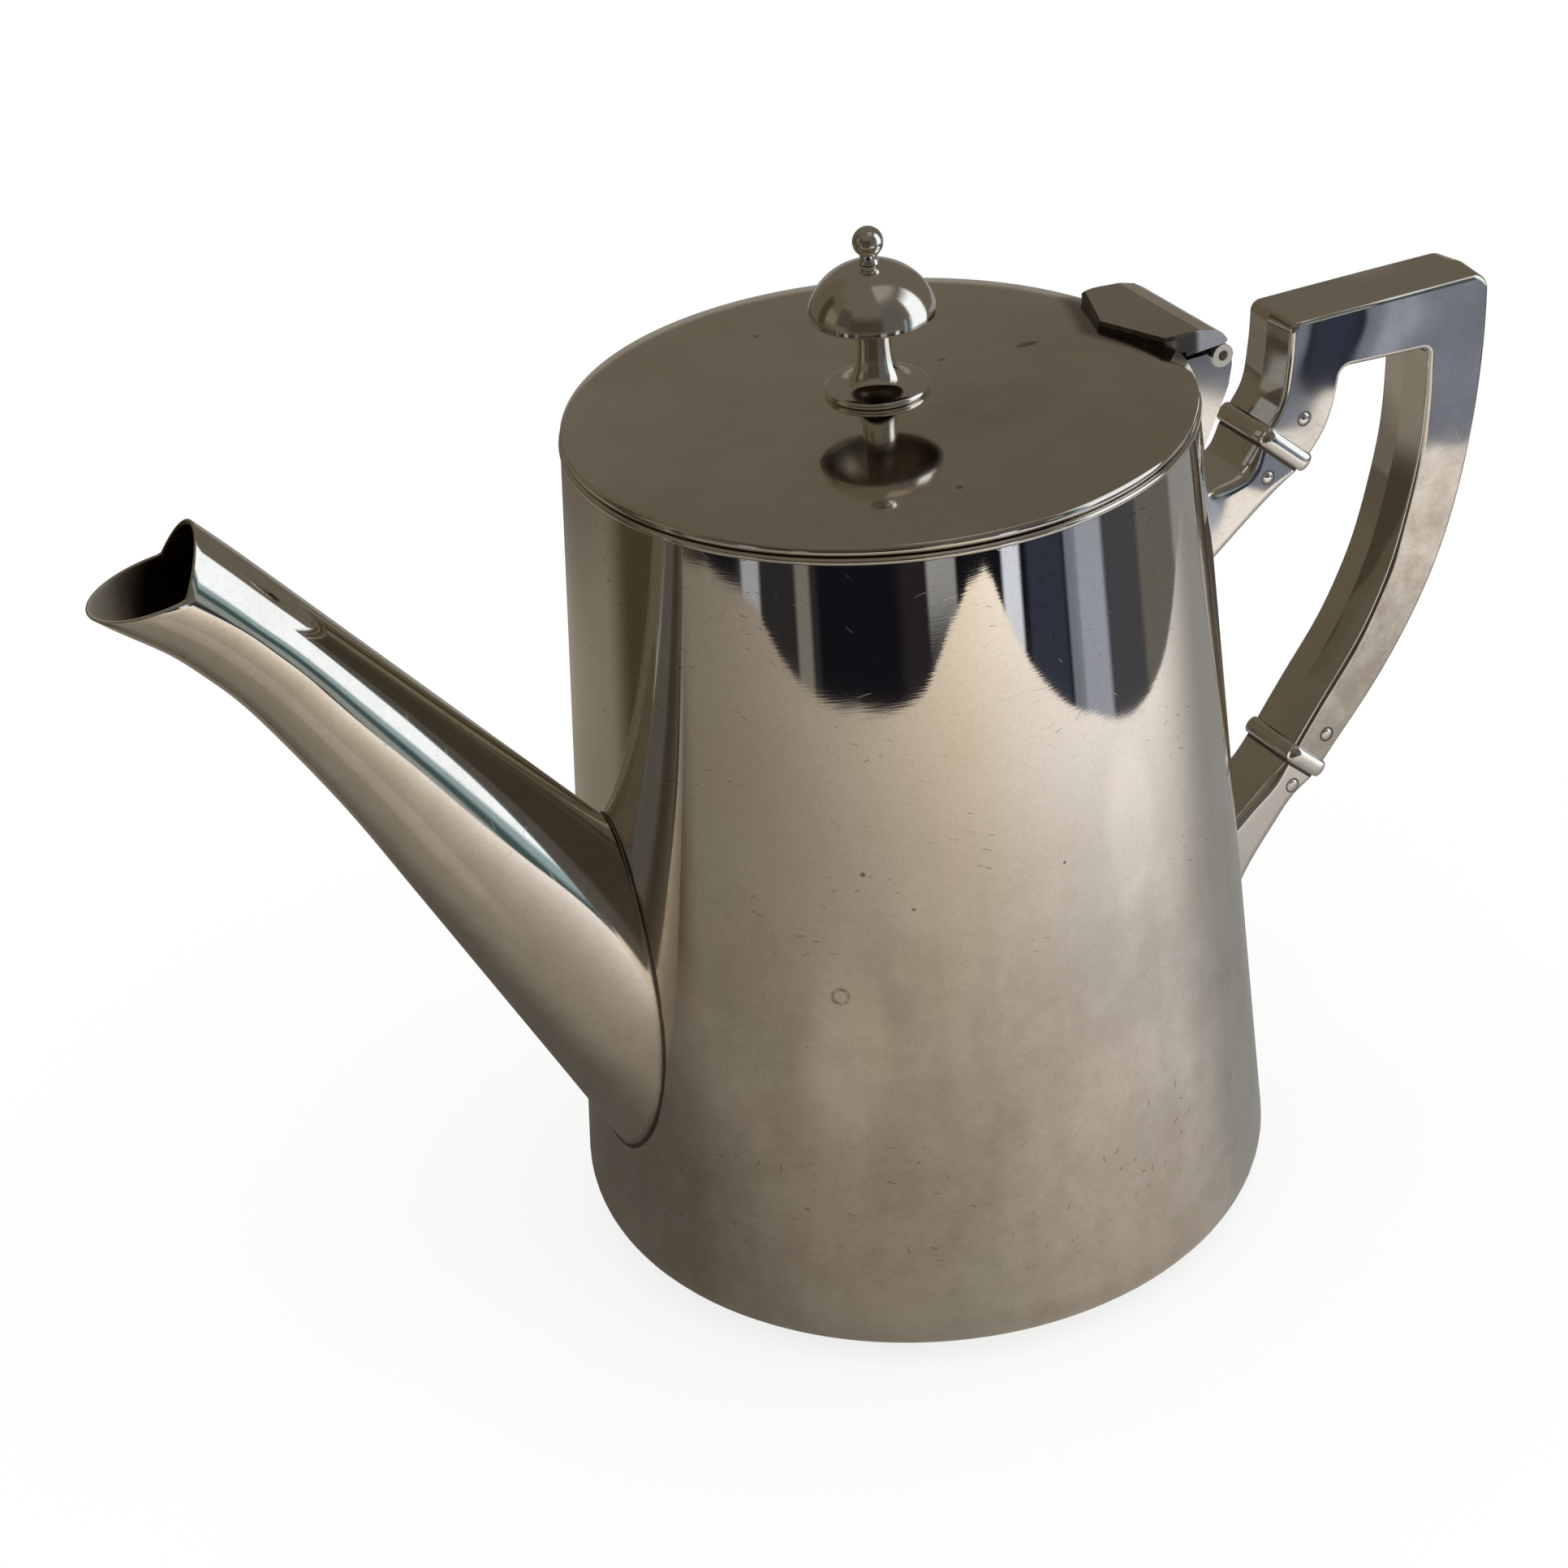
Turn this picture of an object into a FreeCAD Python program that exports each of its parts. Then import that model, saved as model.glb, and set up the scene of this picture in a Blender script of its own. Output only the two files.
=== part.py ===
import FreeCAD, Part
import math
import os

V = FreeCAD.Vector
os.makedirs("parts", exist_ok=True)

# ----------------------------------------------------------------------------
# Driving dimensions, in millimetres.  The pot stands on z = 0 with its axis on
# the Z axis; the spout points to -X and the handle to +X.  Apart from the spout's
# mouth, cut a little askew, the pot is the same on both sides of the XZ plane.
# ----------------------------------------------------------------------------
BASE_R = 55.0            # outer radius of the tapered wall, at the height of EDGE_R
EDGE_R = 8.5             # rounding of the bottom edge
LID_PLANE = 136.7        # height of the lid's upper edge
TOP_R = 47.36            # outer radius of the taper at LID_PLANE
WALL = 1.2               # wall thickness of the body
FOOT_IN_R = 43.6         # inner radius of the turned-in foot
BASE_PLATE_T = 1.2       # thickness of the soldered base disc
WALL_TOP = 133.9         # where the wall ends and the mouth wire starts
RIM_H = 1.0              # height of the mouth wire
RIM_OUT_R = 47.75
RIM_IN_R = 45.6

LID_R = 47.4
LID_BOTTOM = 135.2       # underside of the lid's edge
LID_CROWN = 1.0          # gentle doming of the lid's middle
LID_TURN = 1.2           # how far the lid's border turns down to its edge
LID_RISE = LID_CROWN + LID_TURN   # how much the lid's centre stands above its edge
BEZEL_OUT_R = 45.2       # the inner ring that centres the lid in the mouth
BEZEL_T = 0.9
BEZEL_LOW = 129.4

HINGE_X = 53.9           # hinge axis, parallel to Y
HINGE_Z = 133.4
KNUCKLE_R = 1.8
PIN_R = 0.8
HINGE_HALF = 10.8        # half length of the hinge barrel
MID_HALF = 3.6           # half length of the lid's knuckle
SIDE_GAP = 0.3           # end gap between knuckles
SWING_GAP = 0.4          # clearance of everything that swings past a knuckle
LEAF_TOP = 139.3

SPOUT_WALL = 1.0         # at the root of the spout
SPOUT_EDGE = 0.7         # wall thickness at its mouth
LIP_FLARE = 0.16         # extra width of the lower lip, as a share of the half width
MOUTH_SKEW = (0.135, 0.03)   # how far the mouth's cut runs along X and Z for each unit of Y
SPOUT_TILT = (-0.552, 0.834)      # direction of the spout's axis in the XZ plane
STRAINER_R = 1.5

GRIP_HALF = 6.0          # half thickness of the handle, along Y
GRIP_GROW = 0.5          # full size of the handle over its drawn outline
RIDGE = 0.5              # how far the seam ridge stands above the edges of a side
COLLAR_BULGE = 0.95
FLANGE_T = 0.5           # insulating flange between collar and socket
PIN_HANDLE_R = 1.1

FINIAL_FOOT_R = 7.9
DOME_R = 9.55
BALL_R = 2.3
BALL_Z = 162.3
STUD_R = 1.5


# ----------------------------------------------------------------------------
# Helpers
# ----------------------------------------------------------------------------
def revolve(wire_edges):
    """Solid of revolution about Z of a closed profile in the XZ plane."""
    face = Part.Face(Part.Wire(wire_edges))
    return face.revolve(V(0, 0, 0), V(0, 0, 1), 360)


def poly_edges(pts):
    return [Part.makeLine(V(*a), V(*b)) for a, b in zip(pts, pts[1:])]


def rz(r, z):
    return V(r, 0, z)


def line(a, b):
    return Part.makeLine(rz(*a), rz(*b))


def arc(a, b, c):
    return Part.Arc(rz(*a), rz(*b), rz(*c)).toShape()


def spline(pts):
    c = Part.BSplineCurve()
    c.interpolate([p if isinstance(p, FreeCAD.Vector) else rz(*p) for p in pts])
    return c.toShape()


def prism_y(pts, half):
    """Prism of an XZ polygon, from y = -half to y = +half."""
    w = Part.makePolygon([V(x, -half, z) for x, z in pts] + [V(pts[0][0], -half, pts[0][1])])
    return Part.Face(w).extrude(V(0, 2 * half, 0))


def cyl_y(x, z, r, y0, y1):
    return Part.makeCylinder(r, y1 - y0, V(x, y0, z), V(0, 1, 0))


def save(shape, name):
    if shape.ShapeType == "Compound" and len(shape.Solids) == 1:
        shape = shape.Solids[0]
    shape.exportStep("parts/%s.step" % name)


def wall_r(z):
    return BASE_R + (TOP_R - BASE_R) * (z - EDGE_R) / (LID_PLANE - EDGE_R)


# ----------------------------------------------------------------------------
# Body: tapered wall with a rounded bottom edge that turns in to a flat foot
# ----------------------------------------------------------------------------
slope = (BASE_R - TOP_R) / (LID_PLANE - EDGE_R)
nx = 1.0 / math.hypot(1.0, slope)
nz = slope / math.hypot(1.0, slope)
arc_c = (BASE_R - EDGE_R / nx, EDGE_R)          # centre of the bottom rounding


def on_arc(radius, ang):
    return (arc_c[0] + radius * math.cos(ang), arc_c[1] + radius * math.sin(ang))


a_top = math.atan2(nz, nx)
a_bot = -math.pi / 2
a_mid = 0.5 * (a_top + a_bot)
out_top = (wall_r(WALL_TOP), WALL_TOP)
in_r = EDGE_R - WALL
in_top = (wall_r(WALL_TOP) - WALL / nx, WALL_TOP)

outer_arc = arc(on_arc(EDGE_R, a_bot), on_arc(EDGE_R, a_mid), on_arc(EDGE_R, a_top))
inner_arc = arc(on_arc(in_r, a_top), on_arc(in_r, a_mid), on_arc(in_r, a_bot))
body = revolve([
    line((FOOT_IN_R, 0), on_arc(EDGE_R, a_bot)),
    outer_arc,
    line(on_arc(EDGE_R, a_top), out_top),
    line(out_top, in_top),
    line(in_top, on_arc(in_r, a_top)),
    inner_arc,
    line(on_arc(in_r, a_bot), (FOOT_IN_R, WALL)),
    line((FOOT_IN_R, WALL), (FOOT_IN_R, 0)),
])

# the same outside without the hollow, for trimming what is soldered on
body_solid = revolve([
    line((0, 0), on_arc(EDGE_R, a_bot)),
    arc(on_arc(EDGE_R, a_bot), on_arc(EDGE_R, a_mid), on_arc(EDGE_R, a_top)),
    line(on_arc(EDGE_R, a_top), (wall_r(150.0), 150.0)),
    line((wall_r(150.0), 150.0), (0, 150.0)),
    line((0, 150.0), (0, 0)),
])

# strainer: rows of holes pierced through the wall behind the spout
STRAINER_ROWS = [(38.0, 2), (43.0, 3), (48.0, 4), (53.0, 3), (58.0, 4), (63.0, 3), (68.0, 2), (73.0, 1)]
STRAINER_PITCH = 5.2
for z, n in STRAINER_ROWS:
    for i in range(n):
        y = (i - (n - 1) / 2.0) * STRAINER_PITCH
        body = body.cut(Part.makeCylinder(STRAINER_R, 12, V(-58, y, z), V(1, 0, 0)))
save(body, "body_shell")

base = Part.makeCylinder(arc_c[0] - 0.1, BASE_PLATE_T, V(0, 0, WALL))
save(base, "base_plate")

q = 0.45                                        # edge rounding of the mouth wire
z0, z1 = WALL_TOP, WALL_TOP + RIM_H
k = q * (1 - math.sqrt(0.5))
rim = revolve([
    line((RIM_IN_R, z0), (RIM_OUT_R - q, z0)),
    arc((RIM_OUT_R - q, z0), (RIM_OUT_R - k, z0 + k), (RIM_OUT_R, z0 + q)),
    line((RIM_OUT_R, z0 + q), (RIM_OUT_R, z1 - q)),
    arc((RIM_OUT_R, z1 - q), (RIM_OUT_R - k, z1 - k), (RIM_OUT_R - q, z1)),
    line((RIM_OUT_R - q, z1), (RIM_IN_R, z1)),
    line((RIM_IN_R, z1), (RIM_IN_R, z0)),
])
save(rim, "mouth_wire")

# ----------------------------------------------------------------------------
# Spout: an oval tube that narrows upwards, with a beak-like lower lip
# ----------------------------------------------------------------------------
SPOUT_O = (-50.7, 52.0)
dx, dz = SPOUT_TILT
ex, ez = dz, -dx                                 # across the axis, towards the pot
# along the axis, above the axis, below the axis, half width
SPOUT_SECTIONS = [
    (-25, 22.8, 18.1, 13.9), (-12, 21.3, 16.6, 13.4), (0, 19.87, 15.19, 12.6),
    (10, 18.71, 14.04, 11.4), (20, 17.55, 12.89, 10.45), (32, 16.15, 11.5, 9.75),
    (45, 14.63, 10.0, 9.1), (58, 13.1, 8.55, 8.5), (70, 11.72, 7.72, 8.1),
    (80, 10.55, 7.33, 7.8), (88, 9.62, 7.42, 7.6), (94, 8.92, 8.05, 7.45),
    (100, 8.22, 8.98, 7.38), (105, 7.6, 10.35, 7.34), (110, 6.9, 11.85, 7.3),
    (115, 6.15, 13.0, 7.2), (120, 5.4, 13.6, 7.05),
]


def spout_ring(s, up, low, half, inset):
    a = 0.5 * (up + low) - inset
    b = half - inset
    off = 0.5 * (up - low)
    cx = SPOUT_O[0] + s * dx
    cz = SPOUT_O[1] + s * dz
    k = max(0.0, min(1.0, (s - 82.0) / 28.0))
    flare = LIP_FLARE * k * k * (3 - 2 * k)
    pts = []
    n = 32
    for i in range(n):
        t = 2 * math.pi * i / n
        w = b * (1 + flare * 0.5 * (1 - math.cos(t)))
        u = off + a * math.cos(t)
        pts.append(V(cx + u * ex, w * math.sin(t), cz + u * ez))
    cv = Part.BSplineCurve()
    cv.interpolate(Points=pts, PeriodicFlag=True)
    return Part.Wire([cv.toShape()])


def spout_wall(s):
    t = max(0.0, min(1.0, (s - 70.0) / 40.0))
    return SPOUT_WALL + (SPOUT_EDGE - SPOUT_WALL) * t * t * (3 - 2 * t)


def spout_loft(hollow):
    return Part.makeLoft([spout_ring(s, u, l, b, spout_wall(s) if hollow else 0.0) for s, u, l, b in SPOUT_SECTIONS], True, False)


SPOUT_PEAK = (-107.1, 149.2)
SPOUT_NOTCH = (-110.9, 141.5)
SPOUT_LIP_Z = 139.0
px, pz = SPOUT_PEAK
qx, qz = SPOUT_NOTCH
mouth_pts = [
    (px + (px - qx), pz + (pz - qz)), (px, pz), (qx + 0.45, qz + 1.05), (qx + 0.05, qz + 0.3), (qx - 0.7, qz + 0.02),
    (-126.0, SPOUT_LIP_Z), (-140.0, SPOUT_LIP_Z), (-140.0, 175.0), (px + (px - qx), 175.0)]
mouth_wire_ = Part.makePolygon([
    V(x - 40 * MOUTH_SKEW[0], -40, z - 40 * MOUTH_SKEW[1]) for x, z in mouth_pts + mouth_pts[:1]])
mouth_cut = Part.Face(mouth_wire_).extrude(V(80 * MOUTH_SKEW[0], 80, 80 * MOUTH_SKEW[1]))
spout = spout_loft(False).cut(spout_loft(True)).cut(body_solid).cut(mouth_cut)
spout = max(spout.Solids, key=lambda s: s.Volume)
save(spout, "spout")

# ----------------------------------------------------------------------------
# Lid: slightly domed disc, centring ring, finial and its fastening
# ----------------------------------------------------------------------------
er = 0.7
zt, zb = LID_PLANE, LID_BOTTOM
LID_STEPS = [10.0, 18.0, 25.0, 31.0, 35.5, 38.5, 41.0, 43.0, 44.5, 45.5, 46.2]


def lid_rise(r):
    q_ = r / (LID_R - er)
    return LID_CROWN * (1 - q_ ** 2) + LID_TURN * (1 - q_ ** 14)


def lid_top(r):
    return LID_PLANE + lid_rise(r)


def lid_low(r):
    return LID_BOTTOM + lid_rise(r)


ek = er * (1 - math.sqrt(0.5))
hole_r = STUD_R + 0.1
lid = revolve([
    line((hole_r, lid_low(hole_r)), (hole_r, lid_top(hole_r))),
    spline([(hole_r, lid_top(hole_r))] + [(r, lid_top(r)) for r in LID_STEPS] + [(LID_R - er, zt)]),
    arc((LID_R - er, zt), (LID_R - ek, zt - ek), (LID_R, zt - er)),
    line((LID_R, zt - er), (LID_R, zb + er)),
    arc((LID_R, zb + er), (LID_R - ek, zb + ek), (LID_R - er, zb)),
    spline([(LID_R - er, zb)] + [(r, lid_low(r)) for r in reversed(LID_STEPS)] + [(hole_r, lid_low(hole_r))]),
])
save(lid, "lid_plate")

bezel = Part.makeCylinder(BEZEL_OUT_R, 136.2 - BEZEL_LOW, V(0, 0, BEZEL_LOW))
bezel = bezel.cut(Part.makeCylinder(BEZEL_OUT_R - BEZEL_T, 136.2 - BEZEL_LOW, V(0, 0, BEZEL_LOW)))
bezel = bezel.cut(lid)
bezel = min(bezel.Solids, key=lambda s: s.BoundBox.ZMin)
save(bezel, "lid_bezel")

# flared foot and waisted stem in one turned piece, bored for the stud and the ball's peg
FOOT_Z = LID_PLANE + LID_RISE
stem_top = 158.05
stem_bore = STUD_R + 0.03
STUD_END = 146.0
PEG_R = 1.0
PEG_END = 153.6
stem = revolve([
    line((0, FOOT_Z), (FINIAL_FOOT_R - 0.5, FOOT_Z)),
    arc((FINIAL_FOOT_R - 0.5, FOOT_Z), (FINIAL_FOOT_R, FOOT_Z + 0.55), (FINIAL_FOOT_R - 0.55, FOOT_Z + 1.1)),
    spline([(FINIAL_FOOT_R - 0.55, FOOT_Z + 1.1), (5.5, 140.35), (4.3, 140.95), (3.5, 141.85), (3.02, 143.1),
            (2.76, 144.6), (2.64, 146.2), (2.6, 148.0), (2.6, 149.8)]),
    line((2.6, 149.8), (2.6, 152.0)),
    line((2.6, 152.0), (2.2, 154.0)),
    line((2.2, 154.0), (2.2, stem_top)),
    line((2.2, stem_top), (0, stem_top)),
    line((0, stem_top), (0, FOOT_Z)),
])
stem = stem.cut(Part.makeCylinder(stem_bore, STUD_END + 0.3 - FOOT_Z, V(0, 0, FOOT_Z)))
stem = stem.cut(Part.makeCylinder(PEG_R + 0.03, stem_top - PEG_END + 0.3, V(0, 0, PEG_END - 0.3)))
save(stem, "finial_stem")

DOME_RIM = 150.9
DOME_TOP = 159.05
DOME_T = 0.9
dome_pts = [(DOME_R - 0.05, DOME_RIM + 0.35), (9.4, 152.3), (8.95, 153.65), (8.2, 155.0), (7.05, 156.35), (5.55, 157.55),
            (3.9, 158.4), (2.3, 158.88), (PEG_R + 0.03, DOME_TOP)]
inner_pts = [(PEG_R + 0.03, DOME_TOP - 0.97), (2.3, 158.0), (3.65, 157.52), (5.05, 156.75), (6.45, 155.62), (7.5, 154.35),
             (8.15, 153.1), (8.55, 151.75), (8.7, DOME_RIM)]
dome = revolve([
    spline(dome_pts),
    line(dome_pts[-1], inner_pts[0]),
    spline(inner_pts),
    line(inner_pts[-1], (DOME_R - 0.45, DOME_RIM)),
    arc((DOME_R - 0.45, DOME_RIM), (DOME_R - 0.13, DOME_RIM + 0.09), dome_pts[0]),
])
save(dome, "finial_dome")

NECK_R = 1.35
neck_z = BALL_Z - math.sqrt(BALL_R ** 2 - NECK_R ** 2)
ball = revolve([
    line((0, PEG_END), (PEG_R, PEG_END)),
    line((PEG_R, PEG_END), (PEG_R, DOME_TOP + 0.02)),
    line((PEG_R, DOME_TOP + 0.02), (1.55, DOME_TOP + 0.02)),
    arc((1.55, DOME_TOP + 0.02), (NECK_R, DOME_TOP + 0.55), (NECK_R, neck_z)),
    arc((NECK_R, neck_z), (BALL_R, BALL_Z), (0, BALL_Z + BALL_R)),
    line((0, BALL_Z + BALL_R), (0, PEG_END)),
])
save(ball, "finial_ball")

STUD_LOW = 132.8
stud = Part.makeCylinder(STUD_R, STUD_END - STUD_LOW, V(0, 0, STUD_LOW))
stud = stud.makeChamfer(0.3, [e for e in stud.Edges if len(e.Vertexes) == 1 and e.BoundBox.ZMax < STUD_LOW + 0.1])
save(stud, "finial_stud")

WASHER_TOP = lid_low(3.8) - 0.01
washer = Part.makeCylinder(3.8, 0.5, V(0, 0, WASHER_TOP - 0.5)).cut(
    Part.makeCylinder(STUD_R + 0.08, 0.5, V(0, 0, WASHER_TOP - 0.5)))
save(washer, "finial_washer")

NUT_H = 2.4
NUT_AF = 5.5
nut_pts = [V(NUT_AF / math.sqrt(3) * math.cos(math.pi / 3 * i), NUT_AF / math.sqrt(3) * math.sin(math.pi / 3 * i),
             WASHER_TOP - 0.52 - NUT_H) for i in range(6)]
nut = Part.Face(Part.makePolygon(nut_pts + nut_pts[:1])).extrude(V(0, 0, NUT_H))
nut = nut.cut(Part.makeCylinder(STUD_R + 0.02, NUT_H, V(0, 0, WASHER_TOP - 0.52 - NUT_H)))
save(nut, "finial_nut")

# ----------------------------------------------------------------------------
# Hinge: a faceted leaf on the lid with the middle knuckle, a wedge bracket on
# the wall with the two outer knuckles, and a pin
# ----------------------------------------------------------------------------
LEAF_PLAN = [(38.5, 0.0), (42.9, -11.7), (44.6, -12.0), (50.5, -11.4), (56.0, -10.9), (56.0, 10.9), (50.5, 11.4), (44.6, 12.0),
             (42.9, 11.7)]
LEAF_BEVEL = 0.5


def inset(pts, d):
    """Counter-clockwise polygon with every side moved inwards by d."""
    sides = []
    for (x0, y0), (x1, y1) in zip(pts, pts[1:] + pts[:1]):
        n_ = math.hypot(x1 - x0, y1 - y0)
        nx_, ny_ = -(y1 - y0) / n_, (x1 - x0) / n_
        sides.append((x0 + nx_ * d, y0 + ny_ * d, x1 - x0, y1 - y0))
    out = []
    for a_, b_ in zip(sides[-1:] + sides[:-1], sides):
        den = a_[2] * b_[3] - a_[3] * b_[2]
        t_ = ((b_[0] - a_[0]) * b_[3] - (b_[1] - a_[1]) * b_[2]) / den
        out.append((a_[0] + a_[2] * t_, a_[1] + a_[3] * t_))
    return out


def flat_poly(pts, z):
    return Part.makePolygon([V(x, y, z) for x, y in pts] + [V(pts[0][0], pts[0][1], z)])


leaf = Part.makeLoft([flat_poly(LEAF_PLAN, 130), flat_poly(LEAF_PLAN, LEAF_TOP - LEAF_BEVEL),
                      flat_poly(inset(LEAF_PLAN, LEAF_BEVEL), LEAF_TOP)], True, True)
leaf_side = prism_y([(36.0, 136.4), (36.0, LEAF_TOP), (46.0, LEAF_TOP), (49.5, LEAF_TOP - 0.35), (52.2, LEAF_TOP - 1.05),
                     (53.7, LEAF_TOP - 2.0), (54.5, LEAF_TOP - 3.1), (54.6, 135.75), (53.9, 135.55), (46.6, 135.55),
                     (46.6, 136.4)], 20)
leaf = leaf.common(leaf_side).cut(lid)
leaf = max(leaf.Solids, key=lambda s: s.Volume)
leaf = leaf.cut(cyl_y(HINGE_X, HINGE_Z, KNUCKLE_R + SWING_GAP, -20, 20))
leaf = max(leaf.Solids, key=lambda s: s.Volume)
mid = cyl_y(HINGE_X, HINGE_Z, KNUCKLE_R, -MID_HALF, MID_HALF)
web = prism_y([(HINGE_X - 2.6, 135.7), (HINGE_X - 1.8, HINGE_Z), (HINGE_X, HINGE_Z), (HINGE_X + 0.6, 135.7)], MID_HALF)
leaf = leaf.fuse(web).fuse(mid).removeSplitter()
leaf = leaf.cut(cyl_y(HINGE_X, HINGE_Z, PIN_R + 0.05, -20, 20))
leaf = max(leaf.Solids, key=lambda s: s.Volume)
save(leaf, "lid_hinge_leaf")

WEDGE = [(44.0, 114.5), (48.3, 114.5), (52.0, 121.8), (55.0, 127.9), (55.7, 131.2), (55.7, HINGE_Z), (52.1, HINGE_Z),
         (51.3, 134.2), (44.0, 134.2)]
bracket = prism_y(WEDGE, HINGE_HALF - 0.4).cut(body_solid)
bracket = bracket.cut(Part.makeCylinder(RIM_OUT_R + 0.05, 6.0, V(0, 0, WALL_TOP - 0.3)))
bracket = max(bracket.Solids, key=lambda s: s.Volume)
for y0, y1 in ((-HINGE_HALF, -MID_HALF - SIDE_GAP), (MID_HALF + SIDE_GAP, HINGE_HALF)):
    bracket = bracket.fuse(cyl_y(HINGE_X, HINGE_Z, KNUCKLE_R, y0, y1))
bracket = bracket.cut(cyl_y(HINGE_X, HINGE_Z, KNUCKLE_R + SWING_GAP, -MID_HALF - SIDE_GAP, MID_HALF + SIDE_GAP))
bracket = bracket.cut(prism_y([(HINGE_X - 7.5, HINGE_Z - 1.8), (HINGE_X - 7.5, 140), (HINGE_X + 4, 140),
                               (HINGE_X + 4, HINGE_Z - 0.6), (HINGE_X, HINGE_Z - 0.6)], MID_HALF + SIDE_GAP))
bracket = bracket.removeSplitter()
bracket = bracket.cut(cyl_y(HINGE_X, HINGE_Z, PIN_R + 0.015, -20, 20))
bracket = max(bracket.Solids, key=lambda s: s.Volume)
save(bracket, "hinge_bracket")

pin = cyl_y(HINGE_X, HINGE_Z, PIN_R, -HINGE_HALF + 1.6, HINGE_HALF - 1.6)
save(pin, "hinge_pin")

# ----------------------------------------------------------------------------
# Handle: a squared loop with a shallow seam ridge along its inner and outer
# sides, held at both ends by insulated, pinned joints
# ----------------------------------------------------------------------------
UP_END = (69.48, 112.88)         # centre of the handle's upper end
UP_DIR = (0.674, 0.739)          # direction of the handle there
LOW_END = (72.91, 55.3)
LOW_DIR = (0.672, 0.741)


def norm2(v):
    n = math.hypot(*v)
    return (v[0] / n, v[1] / n)


UP_DIR = norm2(UP_DIR)
LOW_DIR = norm2(LOW_DIR)


def across(d):
    return (d[1], -d[0])


def resample(pts, n):
    """Evenly spaced points on a smooth curve through pts."""
    c = Part.BSplineCurve()
    c.interpolate([rz(*p) for p in pts])
    return [(p.x, p.z) for p in c.discretize(Number=n)]


UP_H = 9.3                       # depth of the handle's section at its upper end
LOW_H = 6.3
u_ax = across(UP_DIR)
l_ax = across(LOW_DIR)
up_front = (UP_END[0] - u_ax[0] * UP_H / 2, UP_END[1] - u_ax[1] * UP_H / 2)
up_back = (UP_END[0] + u_ax[0] * UP_H / 2, UP_END[1] + u_ax[1] * UP_H / 2)
low_in = (LOW_END[0] - l_ax[0] * LOW_H / 2, LOW_END[1] - l_ax[1] * LOW_H / 2)
low_out = (LOW_END[0] + l_ax[0] * LOW_H / 2, LOW_END[1] + l_ax[1] * LOW_H / 2)

# five smooth runs of the outline; the corners between them are rounded
front_run = [up_front, (68.25, 119.0), (69.4, 123.5), (70.05, 127.8), (70.35, 132.1)]
top_run = [(70.35, 132.1), (88.0, 131.65), (107.0, 131.05)]
back_run = [(107.0, 131.05), (107.0, 127.5), (106.8, 123.0), (106.3, 117.5), (105.6, 112.0), (104.75, 106.8),
            (103.55, 101.0), (101.95, 95.2), (100.25, 89.6), (98.15, 84.4), (95.75, 79.5), (93.25, 75.2), (90.2, 70.6),
            (86.7, 65.9), (82.7, 61.2), (78.5, 56.9), low_out]
inner_run = [low_in, (72.9, 60.5), (75.4, 63.7), (78.0, 66.9), (80.3, 69.5), (82.5, 72.2), (84.5, 75.3), (86.4, 78.7),
             (88.1, 81.8), (89.6, 85.0), (91.4, 90.2), (92.75, 94.8), (94.0, 99.0), (95.1, 103.5), (95.75, 108.5),
             (96.15, 113.5), (96.4, 118.0), (96.55, 121.9)]
under_run = [(96.55, 121.9), (88.0, 122.45), (78.75, 123.2)]
rear_run = [(78.75, 123.2), (78.1, 120.0), (77.3, 117.0), (75.9, 113.6), up_back]


def offset_run(pts, d):
    """Move a run sideways: to its left for d > 0."""
    out = []
    for i, p in enumerate(pts):
        a = pts[max(i - 1, 0)]
        b = pts[min(i + 1, len(pts) - 1)]
        t = norm2((b[0] - a[0], b[1] - a[1]))
        out.append((p[0] - t[1] * d, p[1] + t[0] * d))
    return out


def corner(p_prev, p, p_next, r, n=7):
    """Points of a rounding of radius r at corner p."""
    u = norm2((p_prev[0] - p[0], p_prev[1] - p[1]))
    w = norm2((p_next[0] - p[0], p_next[1] - p[1]))
    half = 0.5 * math.acos(max(-1.0, min(1.0, u[0] * w[0] + u[1] * w[1])))
    t = r / math.tan(half)
    m = norm2((u[0] + w[0], u[1] + w[1]))
    c = (p[0] + m[0] * r / math.sin(half), p[1] + m[1] * r / math.sin(half))
    a = (p[0] + u[0] * t, p[1] + u[1] * t)
    b = (p[0] + w[0] * t, p[1] + w[1] * t)
    a0 = math.atan2(a[1] - c[1], a[0] - c[0])
    a1 = math.atan2(b[1] - c[1], b[0] - c[0])
    da = (a1 - a0 + math.pi) % (2 * math.pi) - math.pi
    return [(c[0] + r * math.cos(a0 + da * i / (n - 1)), c[1] + r * math.sin(a0 + da * i / (n - 1))) for i in range(n)]


def cut_end(pts, p, at_start):
    """Drop the points of a run that lie beyond point p, and end the run at p."""
    best = min(range(len(pts)), key=lambda i: math.hypot(pts[i][0] - p[0], pts[i][1] - p[1]))
    if at_start:
        rest = [q for q in pts[best:] if math.hypot(q[0] - p[0], q[1] - p[1]) > 0.35]
        return [p] + rest
    rest = [q for q in pts[:best + 1] if math.hypot(q[0] - p[0], q[1] - p[1]) > 0.35]
    return rest + [p]


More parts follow.
